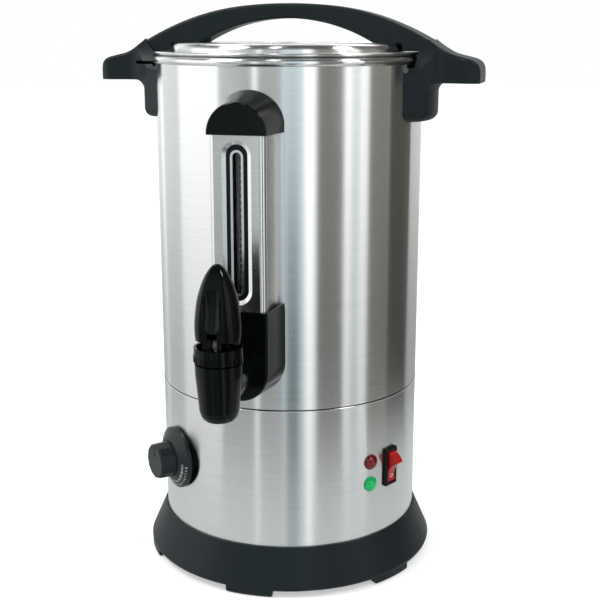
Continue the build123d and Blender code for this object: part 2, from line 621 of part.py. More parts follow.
def bevel_bar(width, low, high, y0, depth):
    """Stadium bar that narrows by the bevel over its depth."""
    angle = degrees(atan(BEVEL / BEVEL_DEPTH))
    plane = Plane(origin=(0, y0, (low + high) / 2), x_dir=(0, 0, 1), z_dir=(0, 1, 0))
    return extrude(plane * SlotOverall(high - low, width), depth, taper=angle)


def make_gauge_cover():
    """Hat channel: foot flanges on the tank, bent front corners and a slot with a pressed-in lip."""
    depth = -COLUMN_Y - BODY_R + 14
    outer = Pos(0, COLUMN_Y + depth / 2) * Rectangle(2 * COLUMN_W, depth)
    outer = fillet(outer.vertices().group_by(Axis.Y)[0], COLUMN_BEND)
    inner = Pos(0, COLUMN_Y + SHEET + depth / 2) * Rectangle(2 * (COLUMN_W - SHEET), depth)
    inner = fillet(inner.vertices().group_by(Axis.Y)[0], COLUMN_BEND - SHEET)
    seat = BODY_R + SEAT_GAP
    feet = Circle(seat + SHEET) & (Pos(0, -BODY_R) * Rectangle(2 * FLANGE_W, 30))
    profile = (outer + feet) - inner - Circle(seat)
    cover = Pos(0, 0, COLUMN_LOW) * extrude(profile, COLUMN_TOP - COLUMN_LOW)
    low, high = SLOT_Z[0] - BEVEL, SLOT_Z[1] + BEVEL
    width = SLOT_W + 2 * BEVEL
    cover -= stadium_bar(width, low, high, COLUMN_Y - 1, COLUMN_Y + 3)
    lip = bevel_bar(width + 2 * SHEET, low - SHEET, high + SHEET, COLUMN_Y, BEVEL_DEPTH)
    lip -= bevel_bar(width, low, high, COLUMN_Y, BEVEL_DEPTH)
    lip -= stadium_bar(SLOT_W, *SLOT_Z, COLUMN_Y - 1, COLUMN_Y + 6)
    return cover + lip


def make_window():
    """Black tray behind the slot with a long sight opening."""
    back = WINDOW_Y + WINDOW_T
    front = COLUMN_Y + SHEET + SEAT_GAP
    tray = block(-WINDOW_W, WINDOW_W, front, back, *WINDOW_Z)
    rim = WINDOW_RIM
    tray -= block(-WINDOW_W + rim, WINDOW_W - rim, front - 1, WINDOW_Y, WINDOW_Z[0] + rim, WINDOW_Z[1] - rim)
    inner = TRIM_W - 2 * TRIM_LINE - 0.4
    return tray - stadium_bar(inner, TRIM_Z[0] + TRIM_LINE + 0.2, TRIM_Z[1] - TRIM_LINE - 0.2, front, back + 1)


def make_trim():
    """Bright ring round the sight opening."""
    front = WINDOW_Y - SEAT_GAP / 2 - TRIM_T
    ring = stadium_bar(TRIM_W, *TRIM_Z, front, front + TRIM_T)
    return ring - stadium_bar(TRIM_W - 2 * TRIM_LINE, TRIM_Z[0] + TRIM_LINE, TRIM_Z[1] - TRIM_LINE,
                              front - 1, front + 3)


def make_scale():
    """Strip behind the sight tube with slanted bars, held at both ends by the tube seals."""
    front = TUBE_Y + TUBE_R + SCALE_GAP
    strip = block(-SCALE_W, SCALE_W, front, front + SCALE_T, TUBE_Z[0] + 14, TUBE_Z[1] - 1)
    count = int((TRIM_Z[1] - TRIM_Z[0]) / SCALE_PITCH)
    bar = Pos(0, front + 0.1, 0) * Rot(0, SCALE_SLANT, 0) * Box(1.6 * SCALE_W, 0.8, SCALE_PITCH * 0.4)
    for n in range(count):
        strip += Pos(0, 0, TRIM_Z[0] + (n + 0.5) * SCALE_PITCH) * bar
    return strip & block(-SCALE_W, SCALE_W, front - 0.2, front + SCALE_T, TUBE_Z[0], TUBE_Z[1])


def make_tube_seal(low, high, closed):
    """Rubber sleeve round one end of the sight tube, with a slot for the scale strip."""
    seal = rod(SEAL_R, low, high, 0, TUBE_Y)
    if closed:
        seal -= rod(TUBE_R + RUN_FIT, low - 1, TUBE_Z[1] + SEAT_GAP, 0, TUBE_Y)
        seal -= rod(VENT_HOLE_R, TUBE_Z[1], high + 1, 0, TUBE_Y)
    else:
        seal -= rod(TUBE_R + RUN_FIT, TUBE_Z[0] - SEAT_GAP, high + 1, 0, TUBE_Y)
        seal -= rod(TUBE_BORE, low - 1, TUBE_Z[0], 0, TUBE_Y)
    front = TUBE_Y + TUBE_R + SCALE_GAP - RUN_FIT
    return seal - block(-SCALE_W - RUN_FIT, SCALE_W + RUN_FIT, front - 0.3, SEAL_R + TUBE_Y + 1,
                        TUBE_Z[0] + 13.9, TUBE_Z[1] - 0.9)


# ================================================================== cap and shroud
def dome_outline(half, centre, flat, up, y):
    """Face in the plane y: a half circle closed by straight sides and a level edge."""
    s = 1 if up else -1
    arc = ThreePointArc((-half, y, centre), (0, y, centre + s * half), (half, y, centre))
    return make_face([arc, Polyline((half, y, centre), (half, y, flat), (-half, y, flat), (-half, y, centre))])


def dome_shell(front_w, wall_w, front_c, wall_c, flat, up, open_z, core=None):
    """Thin moulding lofted from its outline at the tank to its outline at the front, with a core kept in it."""
    outer = loft([dome_outline(wall_w, wall_c, flat, up, WALL_PLANE_Y),
                  dome_outline(front_w, front_c, flat, up, CAP_FRONT_Y)])
    edges = outer.faces().sort_by(Axis.Y)[0].edges().filter_by(lambda e: abs(e.center().Z - flat) > 1)
    outer = fillet(edges, CAP_ROUND)
    t = CAP_SKIN
    inner = loft([dome_outline(wall_w - t, wall_c, open_z, up, WALL_PLANE_Y),
                  dome_outline(front_w - t, front_c, open_z, up, CAP_FRONT_Y + t)])
    shell = outer - inner
    if core is not None:
        shell += core & outer
    over_flange = rod(BODY_R + 2 * SEAT_GAP + SHEET, COLUMN_LOW - SEAT_GAP, COLUMN_TOP + SEAT_GAP)
    over_flange &= block(-FLANGE_W - SEAT_GAP, FLANGE_W + SEAT_GAP, -BODY_R - 16, 14 - BODY_R, 0, LID_TOP)
    return shell - rod(BODY_R + SEAT_GAP, 0, LID_TOP) - over_flange


def make_cap():
    """Cap over the head of the gauge column, with a boss that holds the upper tube seal."""
    front_c = CAP_LOW + 0.5
    seat_top = TUBE_Z[1] + SEAL_CROWN + SEAT_GAP
    boss = rod(SEAL_R + 2, CAP_LOW, seat_top + 30, 0, TUBE_Y)
    boss -= rod(SEAL_R + RUN_FIT, CAP_LOW - 1, seat_top, 0, TUBE_Y)
    boss -= block(-9, 9, TUBE_Y + 3.0, TUBE_Y + 12, CAP_LOW - 1, seat_top)
    return dome_shell(CAP_FRONT_W, CAP_WALL_W, front_c, front_c + CAP_RISE, CAP_LOW, True, CAP_LOW - 1, boss)


def make_shroud():
    """Shroud round the tap's shank and the foot of the gauge column."""
    centre = TAP_Z + 0.5
    shroud = dome_shell(CAP_FRONT_W, CAP_WALL_W, centre, centre, SHROUD_TOP, False, SHROUD_TOP + 1)
    return shroud - rod_y(BOSS_R + HOLE_PLAY, CAP_FRONT_Y - 5, CAP_FRONT_Y + 10, TAP_Z)


# ================================================================== tap
def make_tap_body():
    """Valve chamber with spout, inlet boss, gauge tee, flange and threaded shank in one moulding."""
    outline = [(0, TAP_BODY[0][1])] + list(TAP_BODY) + [(0, SPOUT_LOW)]
    body = turned(outline, TAP_Y)
    body += rod_y(BOSS_R, TAP_Y + 6, CAP_FRONT_Y + 2, TAP_Z)
    body += rod_y(TEE_R + 1.6, CAP_FRONT_Y + 1, FLANGE_Y, TAP_Z)
    body += rod_y(BOSS_R - 1, FLANGE_Y - 2.5, FLANGE_Y, TAP_Z)
    body += rod_y(SHANK_R, FLANGE_Y - 0.5, SHANK_END_Y, TAP_Z)
    body += rod(TEE_R, TAP_Z, TEE_TOP, 0, TUBE_Y)
    body -= rod(CHAMBER_R, SEAT_Z, TAP_BODY[0][1] + 1, 0, TAP_Y)
    body -= rod(SPOUT_R, SPOUT_LOW - 1, SEAT_Z + 1, 0, TAP_Y)
    body -= rod_y(SHANK_BORE, TAP_Y + 5, SHANK_END_Y + 1, TAP_Z)
    body -= rod(TUBE_BORE, TAP_Z, TEE_TOP, 0, TUBE_Y)
    body -= rod(SEAL_R + RUN_FIT, TUBE_Z[0] - SEAL_END - SEAT_GAP, TEE_TOP + 1, 0, TUBE_Y)
    return body


def make_collar():
    """Screw collar: a cup for the cam above, a spigot in the chamber below, and small grip ribs."""
    collar = tube(COLLAR_R, COLLAR_IN, COLLAR_LOW, COLLAR_TOP, 0, TAP_Y)
    collar += rod(COLLAR_IN + 0.5, COLLAR_FLOOR - COLLAR_FLOOR_T, COLLAR_FLOOR, 0, TAP_Y)
    spigot = CHAMBER_R - RUN_FIT
    collar += tube(spigot, spigot - 2.4, COLLAR_SPIGOT, COLLAR_FLOOR - 1, 0, TAP_Y)
    collar += tube(COLLAR_IN + 0.5, spigot - 1, COLLAR_LOW + SEAT_GAP, COLLAR_FLOOR - 1, 0, TAP_Y)
    collar -= tube(COLLAR_R + 1, TAP_BODY[1][0] - 0.4, COLLAR_LOW - 1, COLLAR_LOW + 0.4, 0, TAP_Y)
    rib = Pos(0, TAP_Y - COLLAR_R, COLLAR_LOW + 0.5) * Box(2.0, 2 * RIB_OUT, 4.4, align=UPRIGHT)
    for n in range(RIB_COUNT):
        collar += Pos(0, TAP_Y, 0) * Rot(0, 0, n * 360 / RIB_COUNT) * Pos(0, -TAP_Y, 0) * rib
    return collar - rod(STEM_R + RUN_FIT, 190, COLLAR_FLOOR + 2, 0, TAP_Y)


def make_stem():
    """Valve stem: barbed foot in the seat cup, shank through the collar, flat eye on the lever pin."""
    foot = CUP_LOW + CUP_SKIN
    stem = rod(STEM_R, foot, PIN_Z, 0, TAP_Y)
    stem += rod(BARB_R, foot, foot + BARB_T, 0, TAP_Y)
    eye = rod_x(EYE_R, -EYE_W, EYE_W, TAP_Y, PIN_Z)
    eye += block(-STEM_R + 0.2, STEM_R - 0.2, TAP_Y - 2.2, TAP_Y + 2.2, PIN_Z - 4, PIN_Z)
    return stem + eye - rod_x(PIN_R + RUN_FIT / 2, -10, 10, TAP_Y, PIN_Z)


def make_seat_cup():
    """Silicone cup on the foot of the stem: it closes the outlet from above."""
    cup = rod(CUP_R, CUP_LOW, CUP_LOW + CUP_H, 0, TAP_Y)
    cup = fillet(cup.edges().sort_by(Axis.Z)[0], 2.0)
    cup -= rod(CUP_R - CUP_WALL, CUP_LOW + CUP_SEAT, CUP_LOW + CUP_H + 1, 0, TAP_Y)
    foot = CUP_LOW + CUP_SKIN
    cup -= rod(STEM_R + RUN_FIT, foot - SEAT_GAP, CUP_LOW + CUP_H, 0, TAP_Y)
    return cup - rod(BARB_R + RUN_FIT, foot - SEAT_GAP, foot + BARB_T + SEAT_GAP, 0, TAP_Y)


def make_spring():
    """Return spring between the seat cup and the floor of the collar."""
    low = CUP_LOW + CUP_SEAT + SPRING_WIRE + SEAT_GAP
    high = COLLAR_FLOOR - COLLAR_FLOOR_T - SPRING_WIRE - SEAT_GAP
    path = Helix(pitch=(high - low) / SPRING_TURNS, height=high - low, radius=SPRING_R)
    coil = sweep(Plane(path @ 0, z_dir=path % 0) * Circle(SPRING_WIRE), path=path)
    return Pos(0, TAP_Y, low) * coil


def make_lever():
    """Bullet-shaped lever with a thumb dish, a clevis slot and two cam cheeks."""
    low = LEVER_SHAPE[-1][1]
    curve = Spline(*[(r, 0, z) for r, z in LEVER_SHAPE])
    round_half = make_face([curve, Polyline(curve @ 1, (0, 0, low), curve @ 0)])
    above, below = LEVER_SHAPE[0][1] + 2, low - 3
    wide = LEVER_SHAPE[-1][0]
    lower = LEVER_SHAPE[3:]
    front_line = [(0, -LEVER_FRONT * r, z) for r, z in lower]
    back_line = [(0, LEVER_BACK * r, z) for r, z in lower]
    front = Spline((0, -1.6, above), *front_line, (0, -LEVER_FRONT * wide, below))
    back = Spline((0, 1.6, above), *back_line, (0, LEVER_BACK * wide, below))
    side = make_face([front, back, Line(front @ 1, back @ 1), Line(front @ 0, back @ 0)])
    bullet = Pos(0, TAP_Y, 0) * (revolve(round_half, Axis.Z) & extrude(side, 20, both=True))
    bullet -= Pos(0, TAP_Y, PIN_Z) * Rot(-LEVER_RAKE, 0, 0) * Pos(0, -14, 0) * Box(50, 28, 2 * LEVER_UNDER)
    dish = Pos(0, DISH_DEPTH - DISH_BEND, 0) * Rot(0, 90, 0) * Torus(DISH_BEND - DISH_R, DISH_R)
    bullet -= Pos(0, TAP_Y - LEVER_FRONT * LEVER_SHAPE[6][0], DISH_Z) * Rot(-DISH_TILT, 0, 0) * dish
    cheek = rod_x(CAM_R, -CHEEK_OUT, CHEEK_OUT, TAP_Y - CAM_OFFSET, PIN_Z)
    cheek += rod_x(HUB_R, -CHEEK_OUT, CHEEK_OUT, TAP_Y, PIN_Z)
    cheek += block(-CHEEK_OUT, CHEEK_OUT, TAP_Y - CAM_OFFSET - CAM_R, TAP_Y + HUB_R, PIN_Z, PIN_Z + 6)
    lever = bullet + cheek
    slot = block(-CHEEK_IN, CHEEK_IN, TAP_Y - 20, TAP_Y + 6.5, PIN_Z - 12, CLEVIS_TOP)
    lever -= slot
    return lever - rod_x(PIN_R + RUN_FIT / 2, -10, 10, TAP_Y, PIN_Z)


def make_lever_pin():
    """Pin through both cheeks and the eye of the stem."""
    return rod_x(PIN_R, -CHEEK_OUT, CHEEK_OUT, TAP_Y, PIN_Z)


def make_tap_nut():
    """Hexagon nut on the shank inside the tank."""
    y = -WALL_IN + SEAL_T
    nut = Pos(0, y, TAP_Z) * Rot(-90, 0, 0) * extrude(RegularPolygon(NUT_AF / 2, 6, major_radius=False), NUT_T)
    return nut - rod_y(SHANK_R + RUN_FIT, y - 1, y + NUT_T + 1, TAP_Z)


def make_outer_seal():
    """Ring between the tank wall and the flange of the tap."""
    ring = rod_y(BOSS_R - 1, FLANGE_Y + SEAT_GAP / 2, 9 - BODY_R, TAP_Z)
    ring -= rod_y(SHANK_R + RUN_FIT, FLANGE_Y - 5, SHANK_END_Y, TAP_Z)
    return ring - rod(BODY_R + SEAT_GAP / 2, TAP_Z - 2 * BOSS_R, TAP_Z + 2 * BOSS_R)


def make_inner_seal():
    """Ring between the nut and the inside of the tank wall."""
    y = -WALL_IN + SEAL_T - SEAT_GAP / 2
    ring = rod_y(BOSS_R - 1, -BODY_R, y, TAP_Z) - rod_y(SHANK_R + RUN_FIT, FLANGE_Y - 5, SHANK_END_Y, TAP_Z)
    return ring & rod(WALL_IN - SEAT_GAP / 2, TAP_Z - 2 * BOSS_R, TAP_Z + 2 * BOSS_R)


# ================================================================== dial and thermostat
def make_knob():
    """Skirted knob: rim, conical skirt, faceted grip and a bore for the flatted shaft."""
    rim = DIAL_LIFT + DIAL_RIM
    skirt = turned([(0, DIAL_LIFT), (DIAL_R, DIAL_LIFT), (DIAL_R, rim), (DIAL_NECK_R, DIAL_NECK_Z),
                    (0, DIAL_NECK_Z)])
    skirt = fillet(rims(skirt, DIAL_R, rim), 0.8)
    grip = Pos(0, 0, DIAL_NECK_Z - 1) * extrude(
        RegularPolygon(GRIP_R, GRIP_SIDES), GRIP_TOP - DIAL_NECK_Z + 1, taper=2)
    grip = fillet(grip.faces().sort_by(Axis.Z)[-1].edges(), 1.4)
    knob = skirt + grip
    t = DIAL_SKIN
    knob -= turned([(0, DIAL_LIFT - 1), (DIAL_R - t, DIAL_LIFT - 1), (DIAL_R - t, rim - 0.6),
                    (GRIP_R - 2 * t, DIAL_NECK_Z - t), (GRIP_R - 2 * t, GRIP_TOP - t - 1),
                    (0, GRIP_TOP - t - 1)])
    hub = rod(SHAFT_R + 2.2, DIAL_LIFT + 2.5, GRIP_TOP - t)
    knob += hub
    knob -= shaft_shape(RUN_FIT, DIAL_LIFT, GRIP_TOP - 4)
    return on_wall(DIAL_AZ, DIAL_Z) * (knob - Pos(0, GRIP_R * 0.62, GRIP_TOP) * Box(1.2, GRIP_R * 0.7, 0.8))


def shaft_shape(play, low, high):
    """Round shaft with one flat, in the frame of the dial."""
    return rod(SHAFT_R + play, low, high) - block(-9, 9, SHAFT_R - 0.9 + play, 9, low - 1, high + 1)


def make_shaft():
    """Thermostat shaft, flatted where the knob sits."""
    shaft = shaft_shape(0, 0.6, GRIP_TOP - 4 - SEAT_GAP) + rod(SHAFT_R, -9, 0.6)
    return on_wall(DIAL_AZ, DIAL_Z) * shaft


def stat_front():
    """Height of the thermostat's front in the frame of the dial: its sides touch the wall."""
    return sqrt(WALL_IN ** 2 - (STAT_SIZE[0] / 2) ** 2) - BODY_R - SEAT_GAP


def make_thermostat():
    """Thermostat body behind the wall, with a bush for the shaft and two spade terminals."""
    w, h, d = STAT_SIZE
    front = stat_front()
    body = Pos(0, 0, front - d) * Box(w, h, d, align=UPRIGHT)
    body = fillet(body.edges().filter_by(Axis.Z), 3)
    body += rod(BUSH_R, front - 1, 0.3)
    body -= rod(SHAFT_R + RUN_FIT, -9 - RUN_FIT, 2)
    for x in (-STAT_SPADE_X, STAT_SPADE_X):
        body += Pos(x, -h / 4, front - d - 6) * Box(SPADE_W, SPADE_T, 7, align=UPRIGHT)
    return on_wall(DIAL_AZ, DIAL_Z) * body


def make_bulb():
    """Sensing bulb under the heat plate with its thin capillary to the thermostat."""
    z = FLOOR_Z - PLATE_T - SEAT_GAP - BULB_R - SEAT_GAP
    bulb = rod_y(BULB_R, -24, 26, z, -26)
    back = on_wall(DIAL_AZ, DIAL_Z) * Pos(0, 8, stat_front() - STAT_SIZE[2] - SEAT_GAP)
    start = back.position
    a = radians(DIAL_AZ)
    run = (start.X - 9 * sin(a), start.Y + 9 * cos(a), start.Z)
    end = -26.0
    pipe = cable([(start.X, start.Y, start.Z), run, (run[0] + 6, run[1] + 6, 118), (end, -38, z), (end, -22, z)],
                 CAPILLARY_R, 3.5)
    return bulb + pipe


# ================================================================== lamps and switch
def make_lens(height):
    """Domed lens with a stem through the wall."""
    sphere_r = (LAMP_R ** 2 + LAMP_DOME ** 2) / (2 * LAMP_DOME)
    dome = Pos(0, 0, LAMP_DOME - sphere_r + 0.8) * Sphere(sphere_r)
    dome &= rod(LAMP_R, SEAT_GAP, LAMP_DOME + 1)
    stem = tube(LAMP_STEM_R, LAMP_STEM_R - 1.4, -5, 0.4)
    return on_wall(LAMP_AZ, height) * (dome + stem)


def make_lamp_body(height):
    """Lamp holder on the stem of the lens, with a locking collar against the wall."""
    inner = WALL_IN - BODY_R - SEAT_GAP
    body = rod(LAMP_BODY_R, -LAMP_BODY_L, inner - 0.3)
    body -= rod(LAMP_STEM_R + RUN_FIT, -5 - SEAT_GAP, 1)
    for x in (-2, 2):
        body += Pos(x, 0, -LAMP_BODY_L - 4) * Box(0.8, 2.8, 5, align=UPRIGHT)
    return on_wall(LAMP_AZ, height) * body


def make_switch_housing():
    """Rocker switch housing: bezel outside, body and terminals inside the wall."""
    w, h, d = SWITCH_BODY
    bw, bh = BEZEL_SIZE
    bezel = Pos(0, 0, SEAT_GAP) * Box(bw, bh, BEZEL_T, align=UPRIGHT)
    bezel = fillet(bezel.edges().filter_by(Axis.Z), 1.2)
    bezel = chamfer(bezel.faces().sort_by(Axis.Z)[-1].edges(), 0.7)
    body = Pos(0, 0, -d) * Box(w, h, d + 1, align=UPRIGHT)
    housing = bezel + body
    play = MOVE_GAP
    half = w / 2 - ROCKER_WALL
    housing -= Pos(0, 0, ROCKER_PIVOT) * rod_x(ROCKER_R + play, -half, half, 0, 0)
    housing -= Pos(0, 0, ROCKER_PIVOT) * Box(2 * half, 2 * (ROCKER_R + play), 20, align=UPRIGHT)
    for y in (-7, 1, 9):
        housing += Pos(0, y, -d - SPADE_OUT) * Box(SPADE_W, SPADE_T, SPADE_OUT + 1, align=UPRIGHT)
    return on_wall(SWITCH_AZ, SWITCH_Z) * housing


def make_rocker():
    """Rocker with two lobes that meet in a shallow vee, resting with its top lobe out."""
    w = SWITCH_BODY[0] / 2 - ROCKER_WALL - MOVE_GAP
    crest_z = ROCKER_CREST
    rise = ROCKER_R * tan(radians(ROCKER_TILT))
    outline = Polyline((0, crest_z), (ROCKER_R, crest_z + rise), (ROCKER_R, -4), (3, -7), (-3, -7),
                       (-ROCKER_R, -4), (-ROCKER_R, crest_z + rise), close=True)
    face = Plane.YZ * make_face(outline)
    rocker = extrude(face, w, both=True) & rod_x(ROCKER_R, -w, w, 0, 0)
    rocker = Pos(0, 0, ROCKER_PIVOT) * Rot(ROCKER_TILT, 0, 0) * rocker
    return on_wall(SWITCH_AZ, SWITCH_Z) * rocker


# ================================================================== heater
PLATE_TOP = FLOOR_Z - SEAT_GAP
PLATE_LOW = PLATE_TOP - PLATE_T
ELEMENT_Z = PLATE_LOW - ELEMENT_TUBE - SEAT_GAP / 2
LEG_ANGLE = (360 - ELEMENT_ARC) / 2


def make_heat_plate():
    """Aluminium disc that spreads the heat over the tank floor."""
    return chamfer(rod(PLATE_R, PLATE_LOW, PLATE_TOP).edges(), 0.6)


def leg_spot(side):
    """Place of one turned-down end of the element, either side of the back."""
    a = radians(180 + side * LEG_ANGLE)
    return ELEMENT_R * sin(a), -ELEMENT_R * cos(a)


def make_element():
    """Tubular heating element: an open ring with both ends turned down."""
    section = Plane.XZ * Pos(ELEMENT_R, ELEMENT_Z) * Circle(ELEMENT_TUBE)
    ring = Rot(0, 0, 90 + LEG_ANGLE) * revolve(section, Axis.Z, ELEMENT_ARC)
    for side in (-1, 1):
        x, y = leg_spot(side)
        ring += Pos(x, y, ELEMENT_Z) * Sphere(ELEMENT_TUBE)
        ring += rod(ELEMENT_TUBE, ELEMENT_LEG_LOW, ELEMENT_Z, x, y)
        ring += rod(COLD_PIN_R, ELEMENT_LEG_LOW - COLD_PIN_L, ELEMENT_LEG_LOW + 1, x, y)
    return ring


def make_cutout():
    """Boil-dry cut-out: a flanged disc on the heat plate with two terminals."""
    y = CUTOUT_Y
    body = rod(CUTOUT_R, PLATE_LOW - SEAT_GAP - CUTOUT_T, PLATE_LOW - SEAT_GAP, 0, y)
    body += Pos(0, y, PLATE_LOW - SEAT_GAP - 0.6) * Box(38, 8, 1.2)
    for x in (-5, 5):
        body += Pos(x, y, PLATE_LOW - CUTOUT_T - 7) * Box(SPADE_T, SPADE_W, 8, align=UPRIGHT)
    return body


# ================================================================== inlet, terminal block and wiring
def socket_outline(width, height, corner):
    """Six-sided socket outline with the two lower corners cut off."""
    w, h = width / 2, height / 2
    return make_face(Polyline((-w, h), (w, h), (w, -h + corner), (w - corner, -h),
                              (-w + corner, -h), (-w, -h + corner), close=True))


def make_inlet():
    """Mains inlet: saddle-backed flange, core through the wall and a deep socket."""
    fw, fh = INLET_FLANGE
    flange = Pos(0, 0, -5) * Box(fw, fh, INLET_FACE + 5, align=UPRIGHT)
    flange = fillet(flange.edges().filter_by(Axis.Z), 4)
    flange = on_wall(180, INLET_Z) * flange - rod(BODY_R + SEAT_GAP, INLET_Z - fh, INLET_Z + fh)
    core = Pos(0, 0, -INLET_LENGTH) * extrude(socket_outline(*INLET_CORE, INLET_CORNER), INLET_LENGTH + 1)
    socket = extrude(socket_outline(*INLET_SOCKET, INLET_CORNER), INLET_DEPTH + 1)
    socket = Pos(0, 0, INLET_FACE - INLET_DEPTH) * socket
    inlet = flange + on_wall(180, INLET_Z) * core - on_wall(180, INLET_Z) * socket
    for x in (-INLET_SCREW_X, INLET_SCREW_X):
        inlet -= on_wall(180, INLET_Z) * Pos(x, 0, 0) * Cylinder(INLET_SCREW_R + HOLE_PLAY, 20)
        inlet -= on_wall(180, INLET_Z) * Pos(x, 0, INLET_FACE - 0.6) * Cylinder(3.1, 4, align=UPRIGHT)
    for x, y in PIN_SPOTS:
        inlet -= on_wall(180, INLET_Z) * Pos(x, y, -10) * Box(PIN_W + 0.1, PIN_T + 0.1, 30)
    return inlet


def make_inlet_pin(spot):
    """Flat contact pin from the socket through the back of the inlet."""
    x, y = spot
    low = -INLET_LENGTH - INLET_TAIL
    pin = Pos(x, y, low) * Box(PIN_W, PIN_T, INLET_FACE - CONTACT_DEPTH - low, align=UPRIGHT)
    return on_wall(180, INLET_Z) * chamfer(pin.faces().sort_by(Axis.Z)[-1].edges(), 0.4)


def make_inlet_screw(x):
    """Screw through the inlet flange into the housing wall."""
    return on_wall(180, INLET_Z) * Pos(x, 0, INLET_FACE - 0.5) * pan_screw(2.9, 1.8, INLET_SCREW_R - RUN_FIT, 9)


def make_terminal_block():
    """Screw terminal block on the bottom cover."""
    w, d, h = BLOCK_SIZE
    low = SHELF_LOW
    body = Pos(0, BLOCK_Y, low) * Box(w, d, h, align=UPRIGHT)
    body = fillet(body.faces().sort_by(Axis.Z)[-1].edges(), 1.0)
    for x in (-w / 3, 0, w / 3):
        body -= rod(2.6, low + h - 5, low + h + 1, x, BLOCK_Y)
        body -= rod_y(WIRE_R + 0.4, BLOCK_Y - d, BLOCK_Y + d, low + 6, x)
    return body


def make_wires():
    """Inlet wires down to the terminal block, and wires up to the element and the switch."""
    low = SHELF_LOW + 6
    face = BLOCK_Y + BLOCK_SIZE[1] / 2
    third = BLOCK_SIZE[0] / 3
    tail = BODY_R - INLET_LENGTH - INLET_TAIL
    wires = {}
    for name, x, spot in (("wire_line_in", third, PIN_SPOTS[0]), ("wire_neutral_in", -third, PIN_SPOTS[1])):
        px = -spot[0]
        pz = INLET_Z + spot[1]
        stops = [(px, tail - SEAT_GAP, pz), (px, tail - 9, pz), (x, face + 9, low), (x, face - 4, low)]
        wires[name] = cable(stops, WIRE_R, 3.5)
    near = BLOCK_Y - BLOCK_SIZE[1] / 2
    x, y = leg_spot(1)
    end = ELEMENT_LEG_LOW - COLD_PIN_L
    wires["wire_element"] = cable([(-third, near + 4, low), (-third, near - 12, low), (x, near - 12, 70),
                                   (x, y, 96), (x, y, end - SEAT_GAP)], WIRE_R, WIRE_BEND)
    spot = on_wall(SWITCH_AZ, SWITCH_Z) * Pos(0, 1, -SWITCH_BODY[2] - SPADE_OUT - WIRE_R * 0.2)
    p = spot.position
    a = radians(SWITCH_AZ)
    out = (p.X - 12 * sin(a), p.Y + 12 * cos(a), p.Z)
    wires["wire_switch"] = cable([(p.X, p.Y, p.Z), out, (out[0] - 10, out[1] + 14, 50),
                                  (third, near - 12, low), (third, near + 4, low)], WIRE_R, WIRE_BEND)
    return wires


# ================================================================== screws of base and lid
def make_cover_screw(n):
    """Screw that holds the bottom cover to a boss of the base ring."""
    low = SHELF_LOW - COVER_SHEET - 2 * SEAT_GAP
    screw = Pos(0, -COVER_SCREW_R, low) * Rot(180, 0, 0) * pan_screw(3.6, 2.0, 1.5, 10)
    return around(COVER_SCREW_AZ + n * 360 / COVER_SCREWS, screw)


def make_lid_screw(x):
    """Screw from under the lid into the foot of the lid handle."""
    screw = pan_screw(4.4, 2.2, LID_SCREW_R, LID_HOLE_DEPTH - 1)
    return Pos(x, 0, LID_TOP - SHEET - SEAT_GAP) * Rot(180, 0, 0) * screw


